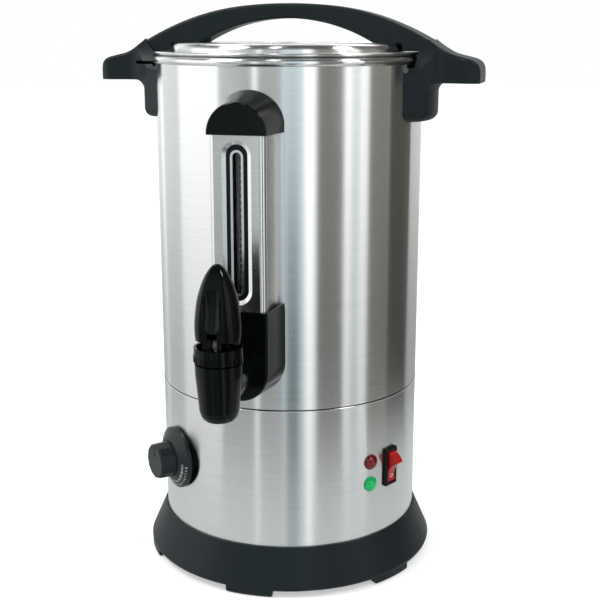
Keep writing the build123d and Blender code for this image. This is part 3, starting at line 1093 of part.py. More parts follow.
# ================================================================== build
def build_all():
    """Every piece by its name."""
    pieces = {
        "tank": make_tank(), "lower_housing": make_housing(), "base_ring": make_base(),
        "bottom_cover": make_bottom_cover(), "lid_pan": make_lid_pan(), "lid_handle": make_lid_handle(),
    }
    right = make_side_handle()
    pieces["side_handle_right"] = right
    pieces["side_handle_left"] = Rot(0, 0, 180) * right
    for name, side in (("right", 90), ("left", -90)):
        pieces["handle_screw_" + name + "_1"] = make_handle_screw(side - HANDLE_SCREW_AZ)
        pieces["handle_screw_" + name + "_2"] = make_handle_screw(side + HANDLE_SCREW_AZ)
    pieces["gauge_cover"] = make_gauge_cover()
    pieces["gauge_window"] = make_window()
    pieces["gauge_trim"] = make_trim()
    pieces["gauge_scale"] = make_scale()
    pieces["gauge_tube"] = tube(TUBE_R, TUBE_BORE, *TUBE_Z, 0, TUBE_Y)
    pieces["gauge_seal_lower"] = make_tube_seal(TUBE_Z[0] - SEAL_END, TUBE_Z[0] + SEAL_GRIP, False)
    pieces["gauge_seal_upper"] = make_tube_seal(TUBE_Z[1] - SEAL_TOP_GRIP, TUBE_Z[1] + SEAL_CROWN, True)
    pieces["gauge_cap"] = make_cap()
    pieces["tap_shroud"] = make_shroud()
    pieces["tap_body"] = make_tap_body()
    pieces["tap_collar"] = make_collar()
    pieces["valve_stem"] = make_stem()
    pieces["seat_cup"] = make_seat_cup()
    pieces["valve_spring"] = make_spring()
    pieces["tap_lever"] = make_lever()
    pieces["lever_pin"] = make_lever_pin()
    pieces["tap_nut"] = make_tap_nut()
    pieces["tap_seal_outer"] = make_outer_seal()
    pieces["tap_seal_inner"] = make_inner_seal()
    pieces["dial_knob"] = make_knob()
    pieces["thermostat_shaft"] = make_shaft()
    pieces["thermostat_body"] = make_thermostat()
    pieces["thermostat_bulb"] = make_bulb()
    for colour, height in (("red", LAMP_RED_Z), ("green", LAMP_GREEN_Z)):
        pieces["lamp_lens_" + colour] = make_lens(height)
        pieces["lamp_body_" + colour] = make_lamp_body(height)
    pieces["switch_housing"] = make_switch_housing()
    pieces["switch_rocker"] = make_rocker()
    pieces["heat_plate"] = make_heat_plate()
    pieces["heating_element"] = make_element()
    pieces["boil_dry_cutout"] = make_cutout()
    pieces["mains_inlet"] = make_inlet()
    for name, spot in zip(("line", "neutral", "earth"), PIN_SPOTS):
        pieces["inlet_pin_" + name] = make_inlet_pin(spot)
    pieces["inlet_screw_1"] = make_inlet_screw(-INLET_SCREW_X)
    pieces["inlet_screw_2"] = make_inlet_screw(INLET_SCREW_X)
    pieces["terminal_block"] = make_terminal_block()
    pieces.update(make_wires())
    for n in range(COVER_SCREWS):
        pieces["cover_screw_" + str(n + 1)] = make_cover_screw(n)
    pieces["lid_screw_1"] = make_lid_screw(-LID_SCREW_X)
    pieces["lid_screw_2"] = make_lid_screw(LID_SCREW_X)
    return pieces


if __name__ == "__main__":
    for piece_name, piece in build_all().items():
        save(piece, piece_name)
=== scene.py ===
"""Looks of the hot water urn: finishes, printed marks, soft studio light and the camera."""
import json
import math

import bpy
import numpy as np
from mathutils import Matrix, Vector


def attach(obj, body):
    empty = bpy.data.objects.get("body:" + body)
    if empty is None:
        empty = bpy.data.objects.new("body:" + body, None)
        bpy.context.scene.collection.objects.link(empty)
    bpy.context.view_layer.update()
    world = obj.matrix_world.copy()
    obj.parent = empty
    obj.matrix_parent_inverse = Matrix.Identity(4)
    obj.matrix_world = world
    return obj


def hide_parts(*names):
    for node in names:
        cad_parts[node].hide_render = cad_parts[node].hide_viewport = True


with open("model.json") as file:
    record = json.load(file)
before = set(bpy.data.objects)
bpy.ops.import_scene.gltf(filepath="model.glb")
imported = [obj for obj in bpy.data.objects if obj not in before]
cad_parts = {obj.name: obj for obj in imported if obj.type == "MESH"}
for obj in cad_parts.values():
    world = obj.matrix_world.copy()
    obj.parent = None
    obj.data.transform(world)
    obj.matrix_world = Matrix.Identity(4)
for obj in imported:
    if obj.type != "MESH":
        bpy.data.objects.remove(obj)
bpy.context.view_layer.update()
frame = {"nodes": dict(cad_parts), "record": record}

BODY_R = 0.104
LAMP_AZ, LAMP_RED_Z, LAMP_GREEN_Z = 52.85, 0.0975, 0.07935


# ------------------------------------------------------------------ node helpers
def put(tree, kind, **inputs):
    """Node with its input values set by name."""
    node = tree.nodes.new(kind)
    for key, value in inputs.items():
        node.inputs[key.replace("_", " ")].default_value = value
    return node


def link(tree, source, target):
    """Joins an output to an input."""
    tree.links.new(source, target)


def math_node(tree, operation, first, second):
    """Maths node on two sockets or numbers."""
    node = tree.nodes.new("ShaderNodeMath")
    node.operation = operation
    for slot, value in zip(node.inputs, (first, second)):
        if isinstance(value, (int, float)):
            slot.default_value = value
        else:
            link(tree, value, slot)
    return node.outputs[0]


def spread(tree, fac, low, high, to_low, to_high):
    """Maps a factor between two limits to two values."""
    node = put(tree, "ShaderNodeMapRange", From_Min=low, From_Max=high,
               To_Min=to_low, To_Max=to_high)
    link(tree, fac, node.inputs["Value"])
    return node.outputs["Result"]


def mix_colour(tree, fac, first, second):
    """Colour between two colours by a factor."""
    node = tree.nodes.new("ShaderNodeMix")
    node.data_type = "RGBA"
    link(tree, fac, node.inputs[0])
    for slot, value in ((node.inputs[6], first), (node.inputs[7], second)):
        if isinstance(value, tuple):
            slot.default_value = (*value, 1)
        else:
            link(tree, value, slot)
    return node.outputs[2]


def noise_node(tree, vector, scale, detail, rough=0.55):
    """Noise factor over a vector; the scale may be a socket."""
    node = put(tree, "ShaderNodeTexNoise", Detail=detail, Roughness=rough)
    link(tree, vector, node.inputs["Vector"])
    if isinstance(scale, (int, float)):
        node.inputs["Scale"].default_value = scale
    else:
        link(tree, scale, node.inputs["Scale"])
    return node.outputs["Fac"]


def group(name, inputs, outputs):
    """Empty shader node group with number inputs and outputs, and its two end nodes."""
    tree = bpy.data.node_groups.new(name, "ShaderNodeTree")
    for key, value in inputs:
        made = tree.interface.new_socket(name=key, in_out="INPUT", socket_type="NodeSocketFloat")
        made.default_value = value
    for key in outputs:
        tree.interface.new_socket(name=key, in_out="OUTPUT", socket_type="NodeSocketFloat")
    return tree, tree.nodes.new("NodeGroupInput"), tree.nodes.new("NodeGroupOutput")


def use(tree, made, **values):
    """A group's node in a material, with its own values."""
    node = tree.nodes.new("ShaderNodeGroup")
    node.node_tree = made
    for key, value in values.items():
        node.inputs[key.replace("_", " ")].default_value = value
    return node


def make_grain_group():
    """Moulded surface: fine grain for the bump, and a slow cloud for colour and sheen."""
    tree, start, end = group("moulded_grain", (("Grain Scale", 900.0), ("Cloud Scale", 18.0)),
                             ("Grain", "Cloud"))
    coords = tree.nodes.new("ShaderNodeTexCoord").outputs["Object"]
    link(tree, noise_node(tree, coords, start.outputs["Grain Scale"], 3.0), end.inputs["Grain"])
    link(tree, noise_node(tree, coords, start.outputs["Cloud Scale"], 3.0), end.inputs["Cloud"])
    return tree


def make_brush_group():
    """Sheet brushed round the body: lines long in the level, fine upright; with a slow cloud."""
    tree, start, end = group("brushed_lines", (("Line Scale", 4.0),), ("Fine", "Broad", "Cloud"))
    coords = tree.nodes.new("ShaderNodeTexCoord").outputs["Object"]
    for key, stretch, detail in (("Fine", (6, 6, 900), 4.0), ("Broad", (5, 5, 190), 3.0)):
        lie = put(tree, "ShaderNodeMapping", Scale=stretch)
        link(tree, coords, lie.inputs["Vector"])
        link(tree, noise_node(tree, lie.outputs["Vector"], start.outputs["Line Scale"], detail),
             end.inputs[key])
    link(tree, noise_node(tree, coords, 9.0, 2.0), end.inputs["Cloud"])
    return tree


GRAIN = make_grain_group()
BRUSH = make_brush_group()


# ------------------------------------------------------------------ finishes
def bare_tree(owner, output="ShaderNodeOutputMaterial"):
    """Emptied node tree of a material or a world, and the Surface socket of its new output."""
    owner.use_nodes = True
    tree = owner.node_tree
    tree.nodes.clear()
    return tree, tree.nodes.new(output).inputs["Surface"]


def new_material(name):
    """Material with an empty node tree, its Principled BSDF and its output joined."""
    mat = bpy.data.materials.new(name)
    tree, surface = bare_tree(mat)
    bsdf = tree.nodes.new("ShaderNodeBsdfPrincipled")
    link(tree, bsdf.outputs["BSDF"], surface)
    return mat, tree, bsdf


def bump(tree, bsdf, height, strength, distance):
    """Bump from a height into the normal of the surface."""
    node = put(tree, "ShaderNodeBump", Strength=strength, Distance=distance)
    link(tree, height, node.inputs["Height"])
    link(tree, node.outputs["Normal"], bsdf.inputs["Normal"])


STEEL_STRETCH, QUARTER_TURN = 0.92, 0.25    # how far reflections stretch, and which way


def steel(name, tint, rough, relief):
    """Stainless sheet brushed round the body: its reflections are long upright, sharp sideways."""
    mat, tree, bsdf = new_material(name)
    bsdf.inputs["Metallic"].default_value = 1.0
    bsdf.inputs["Anisotropic"].default_value = STEEL_STRETCH
    bsdf.inputs["Anisotropic Rotation"].default_value = QUARTER_TURN
    lines = use(tree, BRUSH, Line_Scale=4.0)
    mixed = math_node(tree, "ADD", math_node(tree, "MULTIPLY", lines.outputs["Fine"], 0.5),
                      math_node(tree, "MULTIPLY", lines.outputs["Broad"], 0.5))
    dark = tuple(c * 0.93 for c in tint)
    link(tree, mix_colour(tree, spread(tree, mixed, 0.35, 0.65, 0, 1), dark, tint),
         bsdf.inputs["Base Color"])
    worn = spread(tree, lines.outputs["Cloud"], 0.3, 0.7, rough - 0.02, rough + 0.02)
    streaks = math_node(tree, "MULTIPLY", lines.outputs["Broad"], 0.04)
    link(tree, math_node(tree, "ADD", worn, streaks), bsdf.inputs["Roughness"])
    tangent = tree.nodes.new("ShaderNodeTangent")
    tangent.direction_type = "RADIAL"
    tangent.axis = "Z"
    link(tree, tangent.outputs["Tangent"], bsdf.inputs["Tangent"])
    bump(tree, bsdf, mixed, relief, 0.0001)
    return mat


def plastic(name, colour, rough, grain_scale, grain, shine=0.5, coat=0.0, sink=0.0):
    """Moulded plastic: fine grain, a slightly uneven sheen, and faint sink marks on gloss parts."""
    mat, tree, bsdf = new_material(name)
    skin = use(tree, GRAIN, Grain_Scale=grain_scale, Cloud_Scale=18.0)
    link(tree, mix_colour(tree, skin.outputs["Cloud"], tuple(c * 0.85 for c in colour),
                          tuple(c * 1.12 for c in colour)), bsdf.inputs["Base Color"])
    link(tree, spread(tree, skin.outputs["Cloud"], 0.2, 0.8, rough * 0.88, rough * 1.12),
         bsdf.inputs["Roughness"])
    bsdf.inputs["Specular IOR Level"].default_value = shine
    bsdf.inputs["Coat Weight"].default_value = coat
    bsdf.inputs["Coat Roughness"].default_value = 0.05
    height = skin.outputs["Grain"]
    if sink:
        slow = math_node(tree, "MULTIPLY", skin.outputs["Cloud"], sink)
        height = math_node(tree, "ADD", height, slow)
    bump(tree, bsdf, height, grain, 0.0002)
    return mat


def metal(name, colour, rough):
    """Plain bright metal with a faint cloud in its polish."""
    mat, tree, bsdf = new_material(name)
    bsdf.inputs["Metallic"].default_value = 1.0
    skin = use(tree, GRAIN, Grain_Scale=900.0, Cloud_Scale=60.0)
    link(tree, mix_colour(tree, skin.outputs["Cloud"], tuple(c * 0.9 for c in colour), colour),
         bsdf.inputs["Base Color"])
    link(tree, spread(tree, skin.outputs["Cloud"], 0.2, 0.8, rough * 0.8, rough * 1.2),
         bsdf.inputs["Roughness"])
    return mat


def lens(name, colour, dark, glow, strength, cell, relief, height):
    """Coloured lens of a pilot lamp centred at a height: moulded facets, a darker rim, a glow."""
    mat, tree, bsdf = new_material(name)
    coords = tree.nodes.new("ShaderNodeTexCoord").outputs["Object"]
    facets = put(tree, "ShaderNodeTexVoronoi", Scale=cell, Randomness=0.35)
    link(tree, coords, facets.inputs["Vector"])
    away = tree.nodes.new("ShaderNodeVectorMath")
    away.operation = "DISTANCE"
    turn = math.radians(LAMP_AZ)
    away.inputs[1].default_value = (BODY_R * math.sin(turn), -BODY_R * math.cos(turn), height)
    link(tree, coords, away.inputs[0])
    depth = math_node(tree, "MULTIPLY", spread(tree, facets.outputs["Distance"], 0.0, 0.7, 1, 0),
                      spread(tree, away.outputs["Value"], 0.0040, 0.0064, 1.0, 0.15))
    dim = tuple(c * 0.45 for c in glow)
    link(tree, mix_colour(tree, depth, dark, colour), bsdf.inputs["Base Color"])
    link(tree, mix_colour(tree, depth, dim, glow), bsdf.inputs["Emission Color"])
    bsdf.inputs["Emission Strength"].default_value = strength
    bsdf.inputs["Roughness"].default_value = 0.10
    bump(tree, bsdf, facets.outputs["Distance"], relief, 0.0006)
    return mat


def glass(name):
    """Clear glass of the sight tube."""
    mat, tree, bsdf = new_material(name)
    skin = use(tree, GRAIN, Grain_Scale=300.0, Cloud_Scale=30.0)
    link(tree, mix_colour(tree, skin.outputs["Cloud"], (0.93, 0.96, 0.96), (0.98, 1.0, 1.0)),
         bsdf.inputs["Base Color"])
    bsdf.inputs["Roughness"].default_value = 0.02
    bsdf.inputs["Transmission Weight"].default_value = 1.0
    bsdf.inputs["IOR"].default_value = 1.47
    return mat


MATERIALS = {
    "steel_brushed": steel("steel_brushed", (0.83, 0.83, 0.82), 0.20, 0.05),
    "steel_plain": metal("steel_plain", (0.62, 0.62, 0.62), 0.3),
    "black_satin": plastic("black_satin", (0.007, 0.013, 0.015), 0.42, 900.0, 0.25, shine=0.22),
    "black_knob": plastic("black_knob", (0.008, 0.013, 0.015), 0.36, 900.0, 0.2, shine=0.35),
    "black_gloss": plastic("black_gloss", (0.002, 0.003, 0.003), 0.13, 300.0, 0.10, shine=0.17,
                           sink=14.0),
    "black_inlet": plastic("black_inlet", (0.004, 0.005, 0.006), 0.34, 700.0, 0.15, shine=0.2),
    "bright_trim": metal("bright_trim", (0.86, 0.90, 0.90), 0.16),
    "scale_bars": plastic("scale_bars", (0.030, 0.042, 0.042), 0.35, 500.0, 0.1, shine=0.3),
    "clear_tube": glass("clear_tube"),
    "silicone": plastic("silicone", (0.45, 0.45, 0.43), 0.55, 500.0, 0.1),
    "white_plastic": plastic("white_plastic", (0.62, 0.61, 0.57), 0.4, 500.0, 0.1),
    "spring_steel": metal("spring_steel", (0.6, 0.6, 0.6), 0.25),
    "red_lens": lens("red_lens", (0.34, 0.0, 0.010), (0.05, 0.0, 0.002), (0.6, 0.0, 0.02), 0.10,
                     620.0, 0.5, LAMP_RED_Z),
    "green_lens": lens("green_lens", (0.01, 0.42, 0.12), (0.0, 0.22, 0.06), (0.0, 0.62, 0.16), 0.50,
                       380.0, 0.6, LAMP_GREEN_Z),
    "red_rocker": plastic("red_rocker", (0.44, 0.006, 0.005), 0.26, 300.0, 0.03, shine=0.35,
                          coat=0.10),
    "heat_aluminium": metal("heat_aluminium", (0.75, 0.76, 0.77), 0.4),
    "element_steel": metal("element_steel", (0.3, 0.28, 0.26), 0.45),
    "brass": metal("brass", (0.72, 0.53, 0.24), 0.3),
    "copper_bulb": metal("copper_bulb", (0.72, 0.4, 0.24), 0.35),
    "wire_brown": plastic("wire_brown", (0.1, 0.04, 0.02), 0.45, 500.0, 0.1),
    "wire_blue": plastic("wire_blue", (0.02, 0.06, 0.25), 0.45, 500.0, 0.1),
}

for part in frame["record"]["subparts"]:
    node_object = frame["nodes"][part["node"]]
    node_object.data.materials.clear()
    node_object.data.materials.append(MATERIALS[part["material_slot"]])

# light reaches the strip behind the sight tube straight through the glass
frame["nodes"]["gauge_tube"].visible_shadow = False
frame["nodes"]["gauge_tube"].visible_diffuse = False

PRINT_WHITE = plastic("print_white", (0.72, 0.74, 0.74), 0.5, 900.0, 0.1, shine=0.3)
PRINT_GREY = plastic("print_grey", (0.30, 0.37, 0.37), 0.5, 900.0, 0.1, shine=0.3)


# ------------------------------------------------------------------ printed marks
def mesh_piece(name, verts, faces, material, body):
    """Mesh object at the origin with its material, riding on a body."""
    mesh = bpy.data.meshes.new(name)
    mesh.from_pydata(verts.tolist(), [], faces)
    mesh.materials.append(material)
    mesh.validate()
    piece = bpy.data.objects.new(name, mesh)
    bpy.context.scene.collection.objects.link(piece)
    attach(piece, body)
    return piece


def wall_frame(azimuth, height):
    """Point on the wall at an azimuth, with its level, upright and outward directions."""
    a = math.radians(azimuth)
    origin = np.array([BODY_R * math.sin(a), -BODY_R * math.cos(a), height])
    return (origin, np.array([math.cos(a), math.sin(a), 0.0]), np.array([0.0, 0.0, 1.0]),
            np.array([math.sin(a), -math.cos(a), 0.0]))


def to_wall(place, points):
    """Points of a wall frame in the common frame: origin + x level + y up + z out."""
    origin, level, up, out = place
    return origin + points[:, :1] * level + points[:, 1:2] * up + points[:, 2:] * out


def bar(u0, u1, v0, v1, steps=4):
    """Closed thin bar over u0..u1 and v0..v1, its length cut in steps; w is 0 below, 1 above."""
    v = np.linspace(v0, v1, steps + 1)
    outline = np.array([[u0, 0, 0], [u1, 0, 0], [u1, 0, 1], [u0, 0, 1]], float)
    points = np.repeat(outline[None], len(v), axis=0)
    points[:, :, 1] = v[:, None]
    faces = [(4 * k + j, 4 * k + 4 + j, 4 * k + 4 + (j + 1) % 4, 4 * k + (j + 1) % 4)
             for k in range(steps) for j in range(4)]
    faces += [(0, 1, 2, 3), (4 * steps + 3, 4 * steps + 2, 4 * steps + 1, 4 * steps)]
    return points.reshape(-1, 3), faces


FONT_FIGURE_H = 0.7       # height of a figure in a font of size 1


def number_mesh(text, height):
    """Number as a thin mesh, centred, of a given height; w is 0 below and 1 above.

    Its two faces and its walls meet edge to edge but share no vertices.
    """
    curve = bpy.data.curves.new("figures", "FONT")
    curve.body = text
    curve.align_x = "CENTER"
    curve.align_y = "CENTER"
    curve.extrude = 0.5
    curve.resolution_u = 3
    holder = bpy.data.objects.new("figures", curve)
    bpy.context.scene.collection.objects.link(holder)
    graph = bpy.context.evaluated_depsgraph_get()
    mesh = bpy.data.meshes.new_from_object(holder.evaluated_get(graph))
    points = np.empty(len(mesh.vertices) * 3)
    mesh.vertices.foreach_get("co", points)
    points = points.reshape(-1, 3)
    faces = [tuple(p.vertices) for p in mesh.polygons]
    bpy.data.objects.remove(holder)
    bpy.data.curves.remove(curve)
    bpy.data.meshes.remove(mesh)
    points[:, 2] += 0.5
    points[:, :2] *= height / FONT_FIGURE_H
    return points, faces


def join(parts):
    """One vertex array and one face list from several."""
    verts, faces, count = [], [], 0
    for points, polygons in parts:
        verts.append(points)
        faces += [tuple(i + count for i in p) for p in polygons]
        count += len(points)
    return np.concatenate(verts), faces


DIAL_AZ, DIAL_Z = -42.6, 0.0915
DIAL_RIM_R, DIAL_RIM_H = 0.0245, 0.0033
DIAL_NECK_R, DIAL_NECK_H = 0.0154, 0.0086
DIAL_FIRST, DIAL_LAST = 128.0, 356.0    # where the marks begin and end, degrees
FIGURES, FIGURE_H, FIGURE_R = range(30, 115, 5), 0.0021, 0.0188
TICK_COUNT, TICK_R, TICKS_PER_LONG = 33, 0.0213, 4
LONG_TICK, SHORT_TICK = (0.00030, 0.0021), (0.00022, 0.0015)    # half width and length
PRINT_DEPTH = 0.00006


def on_dial(points, turn, radius):
    """Flat marks laid on the dial's cone.

    A mark's u runs clockwise and its v outwards: angle = turn - u / r, r = radius + v cos(slope),
    height from the cone's line between rim and neck, and w lifts along the cone's normal.
    """
    fall = (DIAL_NECK_H - DIAL_RIM_H) / (DIAL_RIM_R - DIAL_NECK_R)
    cosine = 1 / math.hypot(1, fall)
    r = radius + points[:, 1] * cosine
    t = math.radians(turn) - points[:, 0] / r
    lift = (points[:, 2] - 0.5) * PRINT_DEPTH
    h = DIAL_RIM_H + (DIAL_RIM_R - r) * fall + lift * cosine
    out = r + lift * fall * cosine
    return np.stack([out * np.cos(t), out * np.sin(t), h], axis=1)


def make_dial_marks():
    """Plain figures from 30 to 110 round nearly two thirds of the dial, with ticks outside them."""
    span = DIAL_LAST - DIAL_FIRST
    parts = []
    for n, number in enumerate(FIGURES):
        points, faces = number_mesh(str(number), FIGURE_H)
        parts.append((on_dial(points, DIAL_FIRST + span * n / (len(FIGURES) - 1), FIGURE_R), faces))
    for n in range(TICK_COUNT):
        half, length = SHORT_TICK if n % TICKS_PER_LONG else LONG_TICK
        points, faces = bar(-half, half, 0.0, length)
        parts.append((on_dial(points, DIAL_FIRST + span * n / (TICK_COUNT - 1), TICK_R), faces))
    verts, faces = join(parts)
    return mesh_piece("dial_marks", to_wall(wall_frame(DIAL_AZ, DIAL_Z), verts), faces,
                      PRINT_WHITE, "knob")


make_dial_marks()

SWITCH_AZ, SWITCH_Z = 64.8, 0.0888
ROCKER_R, ROCKER_HALF = 0.0130, 0.0043
ROCKER_PIVOT, ROCKER_LEAN = -0.0022, math.radians(12.0)
ROCKER_CREST, ROCKER_TOE, ROCKER_CORNER = 32.0, -56.0, 107.0    # degrees round its pivot
ROCKER_HOLLOW = np.array([0.0005, 0.0026])
ROCKER_FOOT = np.array([[-0.003, -0.007], [0.003, -0.007]])
ROCKER_EDGE = 0.0004


def leaning(points):
    """Rocker section, y up and z out from its pivot, leaned as it rests and moved to the pivot."""
    y, z = points[..., 0], points[..., 1]
    c, s = math.cos(ROCKER_LEAN), math.sin(ROCKER_LEAN)
    return np.stack([y * c - z * s, y * s + z * c + ROCKER_PIVOT], axis=-1)


def on_rocker_round(degrees):
    """Points of the rocker's round outline: y = r sin(angle), z = r cos(angle)."""
    angle = np.radians(degrees)
    return ROCKER_R * np.stack([np.sin(angle), np.cos(angle)], axis=-1)


def rocker_face(t):
    """Hollow face of the rocker from crest (0) to toe (1): (1-t)^2 A + 2t(1-t) B + t^2 C."""
    t = np.asarray(t, float)[..., None]
    crest, toe = on_rocker_round(ROCKER_CREST), on_rocker_round(ROCKER_TOE)
    return leaning((1 - t) ** 2 * crest + 2 * t * (1 - t) * ROCKER_HOLLOW + t ** 2 * toe)


def make_rocker():
    """Rocker: its section, a round back about the pivot and a hollow face, across its width."""
    lower = on_rocker_round(np.linspace(ROCKER_TOE, -ROCKER_CORNER, 12)[1:])
    upper = on_rocker_round(np.linspace(ROCKER_CORNER, ROCKER_CREST, 16)[:-1])
    section = np.concatenate([rocker_face(np.linspace(0, 1, 17)),
                              leaning(np.concatenate([lower, ROCKER_FOOT, upper]))])
    n = len(section)
    sides = [np.column_stack([np.full(n, x), section]) for x in (-ROCKER_HALF, ROCKER_HALF)]
    verts = to_wall(wall_frame(SWITCH_AZ, SWITCH_Z), np.concatenate(sides))
    faces = [(k, (k + 1) % n, n + (k + 1) % n, n + k) for k in range(n)]
    faces += [tuple(reversed(range(n))), tuple(range(n, 2 * n))]
    rocker = mesh_piece("rocker", verts, faces, MATERIALS["red_rocker"], "rocker")
    edge = rocker.modifiers.new("edge", "BEVEL")
    edge.width = ROCKER_EDGE
    edge.segments = 3
    edge.limit_method = "ANGLE"
    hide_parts("switch_rocker")
    return rocker


make_rocker()


def on_rocker(points, t):
    """Marks laid on the rocker's face at t along it: v runs up the face and w out of it."""
    spot = rocker_face(t)
    along = rocker_face(t - 0.01) - rocker_face(t + 0.01)
    along = along / np.linalg.norm(along)
    out = np.array([-along[1], along[0]])
    lift = (points[:, 2:] - 0.5) * 2 * PRINT_DEPTH
    place = spot + points[:, 1:2] * along + lift * out
    return np.column_stack([points[:, 0], place])


def ring(radius, line, steps=32):
    """Closed flat ring: a small rectangle carried round a circle; w is 0 below and 1 above."""
    t = np.linspace(0, 2 * math.pi, steps, endpoint=False)
    section = np.array([[-line / 2, 0], [line / 2, 0], [line / 2, 1], [-line / 2, 1]])
    r = radius + section[:, 0]
    points = np.stack([np.outer(np.cos(t), r), np.outer(np.sin(t), r),
                       np.broadcast_to(section[:, 1], (steps, 4))], axis=2)
    faces = [(4 * k + j, 4 * k + (j + 1) % 4, 4 * ((k + 1) % steps) + (j + 1) % 4,
              4 * ((k + 1) % steps) + j) for k in range(steps) for j in range(4)]
    return points.reshape(-1, 3), [tuple(reversed(f)) for f in faces]


MARK_REACH = 0.0014                # half length of the line, and radius of the circle
LINE_AT, CIRCLE_AT = 0.22, 0.80    # places along the face, from crest to toe


def make_rocker_marks():
    """Plain line and circle on the two faces of the rocker."""
    line, line_faces = bar(-0.0003, 0.0003, -MARK_REACH, MARK_REACH)
    circle, circle_faces = ring(MARK_REACH, 0.0005)
    verts, faces = join([(on_rocker(line, LINE_AT), line_faces),
                         (on_rocker(circle, CIRCLE_AT), circle_faces)])
    return mesh_piece("rocker_marks", to_wall(wall_frame(SWITCH_AZ, SWITCH_Z), verts), faces,
                      PRINT_WHITE, "rocker")


make_rocker_marks()

TUBE_Y, TUBE_R = -0.122, 0.0040
SCALE_LOW = 0.2427        # height of the lowest mark
BAR_COUNT, BAR_STEP, BAR_SLANT = 20, 0.005, math.tan(math.radians(35.0))
LINE_COUNT, LINE_STEP, LINES_PER_LONG = 76, 0.00125, 4


def make_scale_marks():
    """Marks printed on the sight tube: fine lines on its left, slanted bars on its right.

    A mark's u runs round the tube: angle = u / r, x = r sin(angle), y = tube - r cos(angle).
    """
    parts = []
    for n in range(BAR_COUNT):
        points, faces = bar(0.0002, 0.0030, -0.0009, 0.0009)
        points[:, 1] += SCALE_LOW + BAR_STEP * n - BAR_SLANT * (points[:, 0] - 0.0013)
        parts.append((points, faces))
    for n in range(LINE_COUNT):
        points, faces = bar(-0.0030, -0.0016 if n % LINES_PER_LONG else -0.0009, -0.0002, 0.0002, 1)
        points[:, 1] += SCALE_LOW + LINE_STEP * n
        parts.append((points, faces))
    verts, faces = join(parts)
    r = TUBE_R + (verts[:, 2] - 0.3) * PRINT_DEPTH
    placed = np.stack([r * np.sin(verts[:, 0] / TUBE_R), TUBE_Y - r * np.cos(verts[:, 0] / TUBE_R),
                       verts[:, 1]], axis=1)
    return mesh_piece("scale_marks", placed, faces, PRINT_GREY, "urn")


make_scale_marks()


# ------------------------------------------------------------------ turned sheet pieces
TURN_STEPS = 256


def turned_piece(name, sections, body, slot):
    """Closed sections of radius and height carried round the urn's axis, shaded smooth."""
    steps = TURN_STEPS
    turn = np.linspace(0, 2 * math.pi, steps, endpoint=False)
    parts = []
    for section in sections:
        n = len(section)
        verts = np.stack([np.outer(np.cos(turn), section[:, 0]),
                          np.outer(np.sin(turn), section[:, 0]),
                          np.broadcast_to(section[:, 1], (steps, n))], axis=2)
        faces = [(k * n + j, ((k + 1) % steps) * n + j, ((k + 1) % steps) * n + (j + 1) % n,
                  k * n + (j + 1) % n) for k in range(steps) for j in range(n)]
        parts.append((verts.reshape(-1, 3), faces))
    verts, faces = join(parts)
    piece = mesh_piece(name, verts, faces, MATERIALS[slot], body)
    piece.data.polygons.foreach_set("use_smooth", np.ones(len(piece.data.polygons), bool))
    return piece


def arc(r, z, radius, start, end, count=9):
    """Points of an arc about (r, z) between two angles in degrees."""
    t = np.radians(np.linspace(start, end, count))
    return np.stack([r + radius * np.cos(t), z + radius * np.sin(t)], axis=1)


LID_TOP, LID_LOW, LID_STEP_R, LID_SHEET = 0.4135, 0.4044, 0.0920, 0.0008
LID_SHOULDER, LID_EDGE_R, LID_POLE_R = 0.0050, 0.1055, 0.0001
LID_FOOT = 0.0018                          # radius of the hollow foot
LID_CURL, LID_CURL_IN = 0.0012, 0.0030     # rise to the edge: radius, and how far in it starts
LID_ROLL, LID_ROLL_UP = 0.0010, 0.0019     # rolled edge: radius, and middle over the flange
GUIDE_R, GUIDE_DROP, GUIDE_SINK = 0.0994, 0.0080, 0.0002


def make_lid_shell():
    """Lid of thin sheet: flat middle, round shoulder, hollow foot, flange, rolled edge and guide.

    The section runs over the top from a pinhole in the middle to the edge and back underneath, a
    sheet's thickness in. It has no screw holes. The guide is a ring of its own under the flange.
    """
    upper = LID_LOW + LID_SHEET
    shoulder = (LID_STEP_R - LID_SHOULDER, LID_TOP - LID_SHOULDER)
    foot = (LID_STEP_R + LID_FOOT, upper + LID_FOOT)
    over = [np.array([[LID_POLE_R, LID_TOP]]),
            arc(*shoulder, LID_SHOULDER, 90, 0, 13),
            arc(*foot, LID_FOOT, 180, 270),
            arc(LID_EDGE_R - LID_CURL_IN, upper + LID_CURL, LID_CURL, 270, 330, 5),
            arc(LID_EDGE_R - LID_ROLL, LID_LOW + LID_ROLL_UP, LID_ROLL, 150, -90, 17)]
    under = [np.array([[LID_EDGE_R - 0.0020, LID_LOW]]),
             arc(*foot, LID_FOOT + LID_SHEET, 270, 180),
             arc(*shoulder, LID_SHOULDER - LID_SHEET, 0, 90, 13),
             np.array([[LID_POLE_R, LID_TOP - LID_SHEET]])]
    guide_in, guide_low, guide_top = GUIDE_R - LID_SHEET, LID_LOW - GUIDE_DROP, LID_LOW + GUIDE_SINK
    guide = np.array([[GUIDE_R, guide_top], [GUIDE_R, guide_low],
                      [guide_in, guide_low], [guide_in, guide_top]])
    lid = turned_piece("lid_shell", [np.concatenate(over + under)[::-1], guide[::-1]],
                       "lid", "steel_brushed")
    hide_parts("lid_pan")
    return lid


make_lid_shell()

SEAM_LOW, SEAM_HIGH = 0.14635, 0.14705
SEAM_SINK, SEAM_PROUD = 0.0006, 0.00003    # how far the line goes into the wall and out of it
LIP_H, LIP_R, LIP_SINK = 0.0011, 0.0005, 0.0003


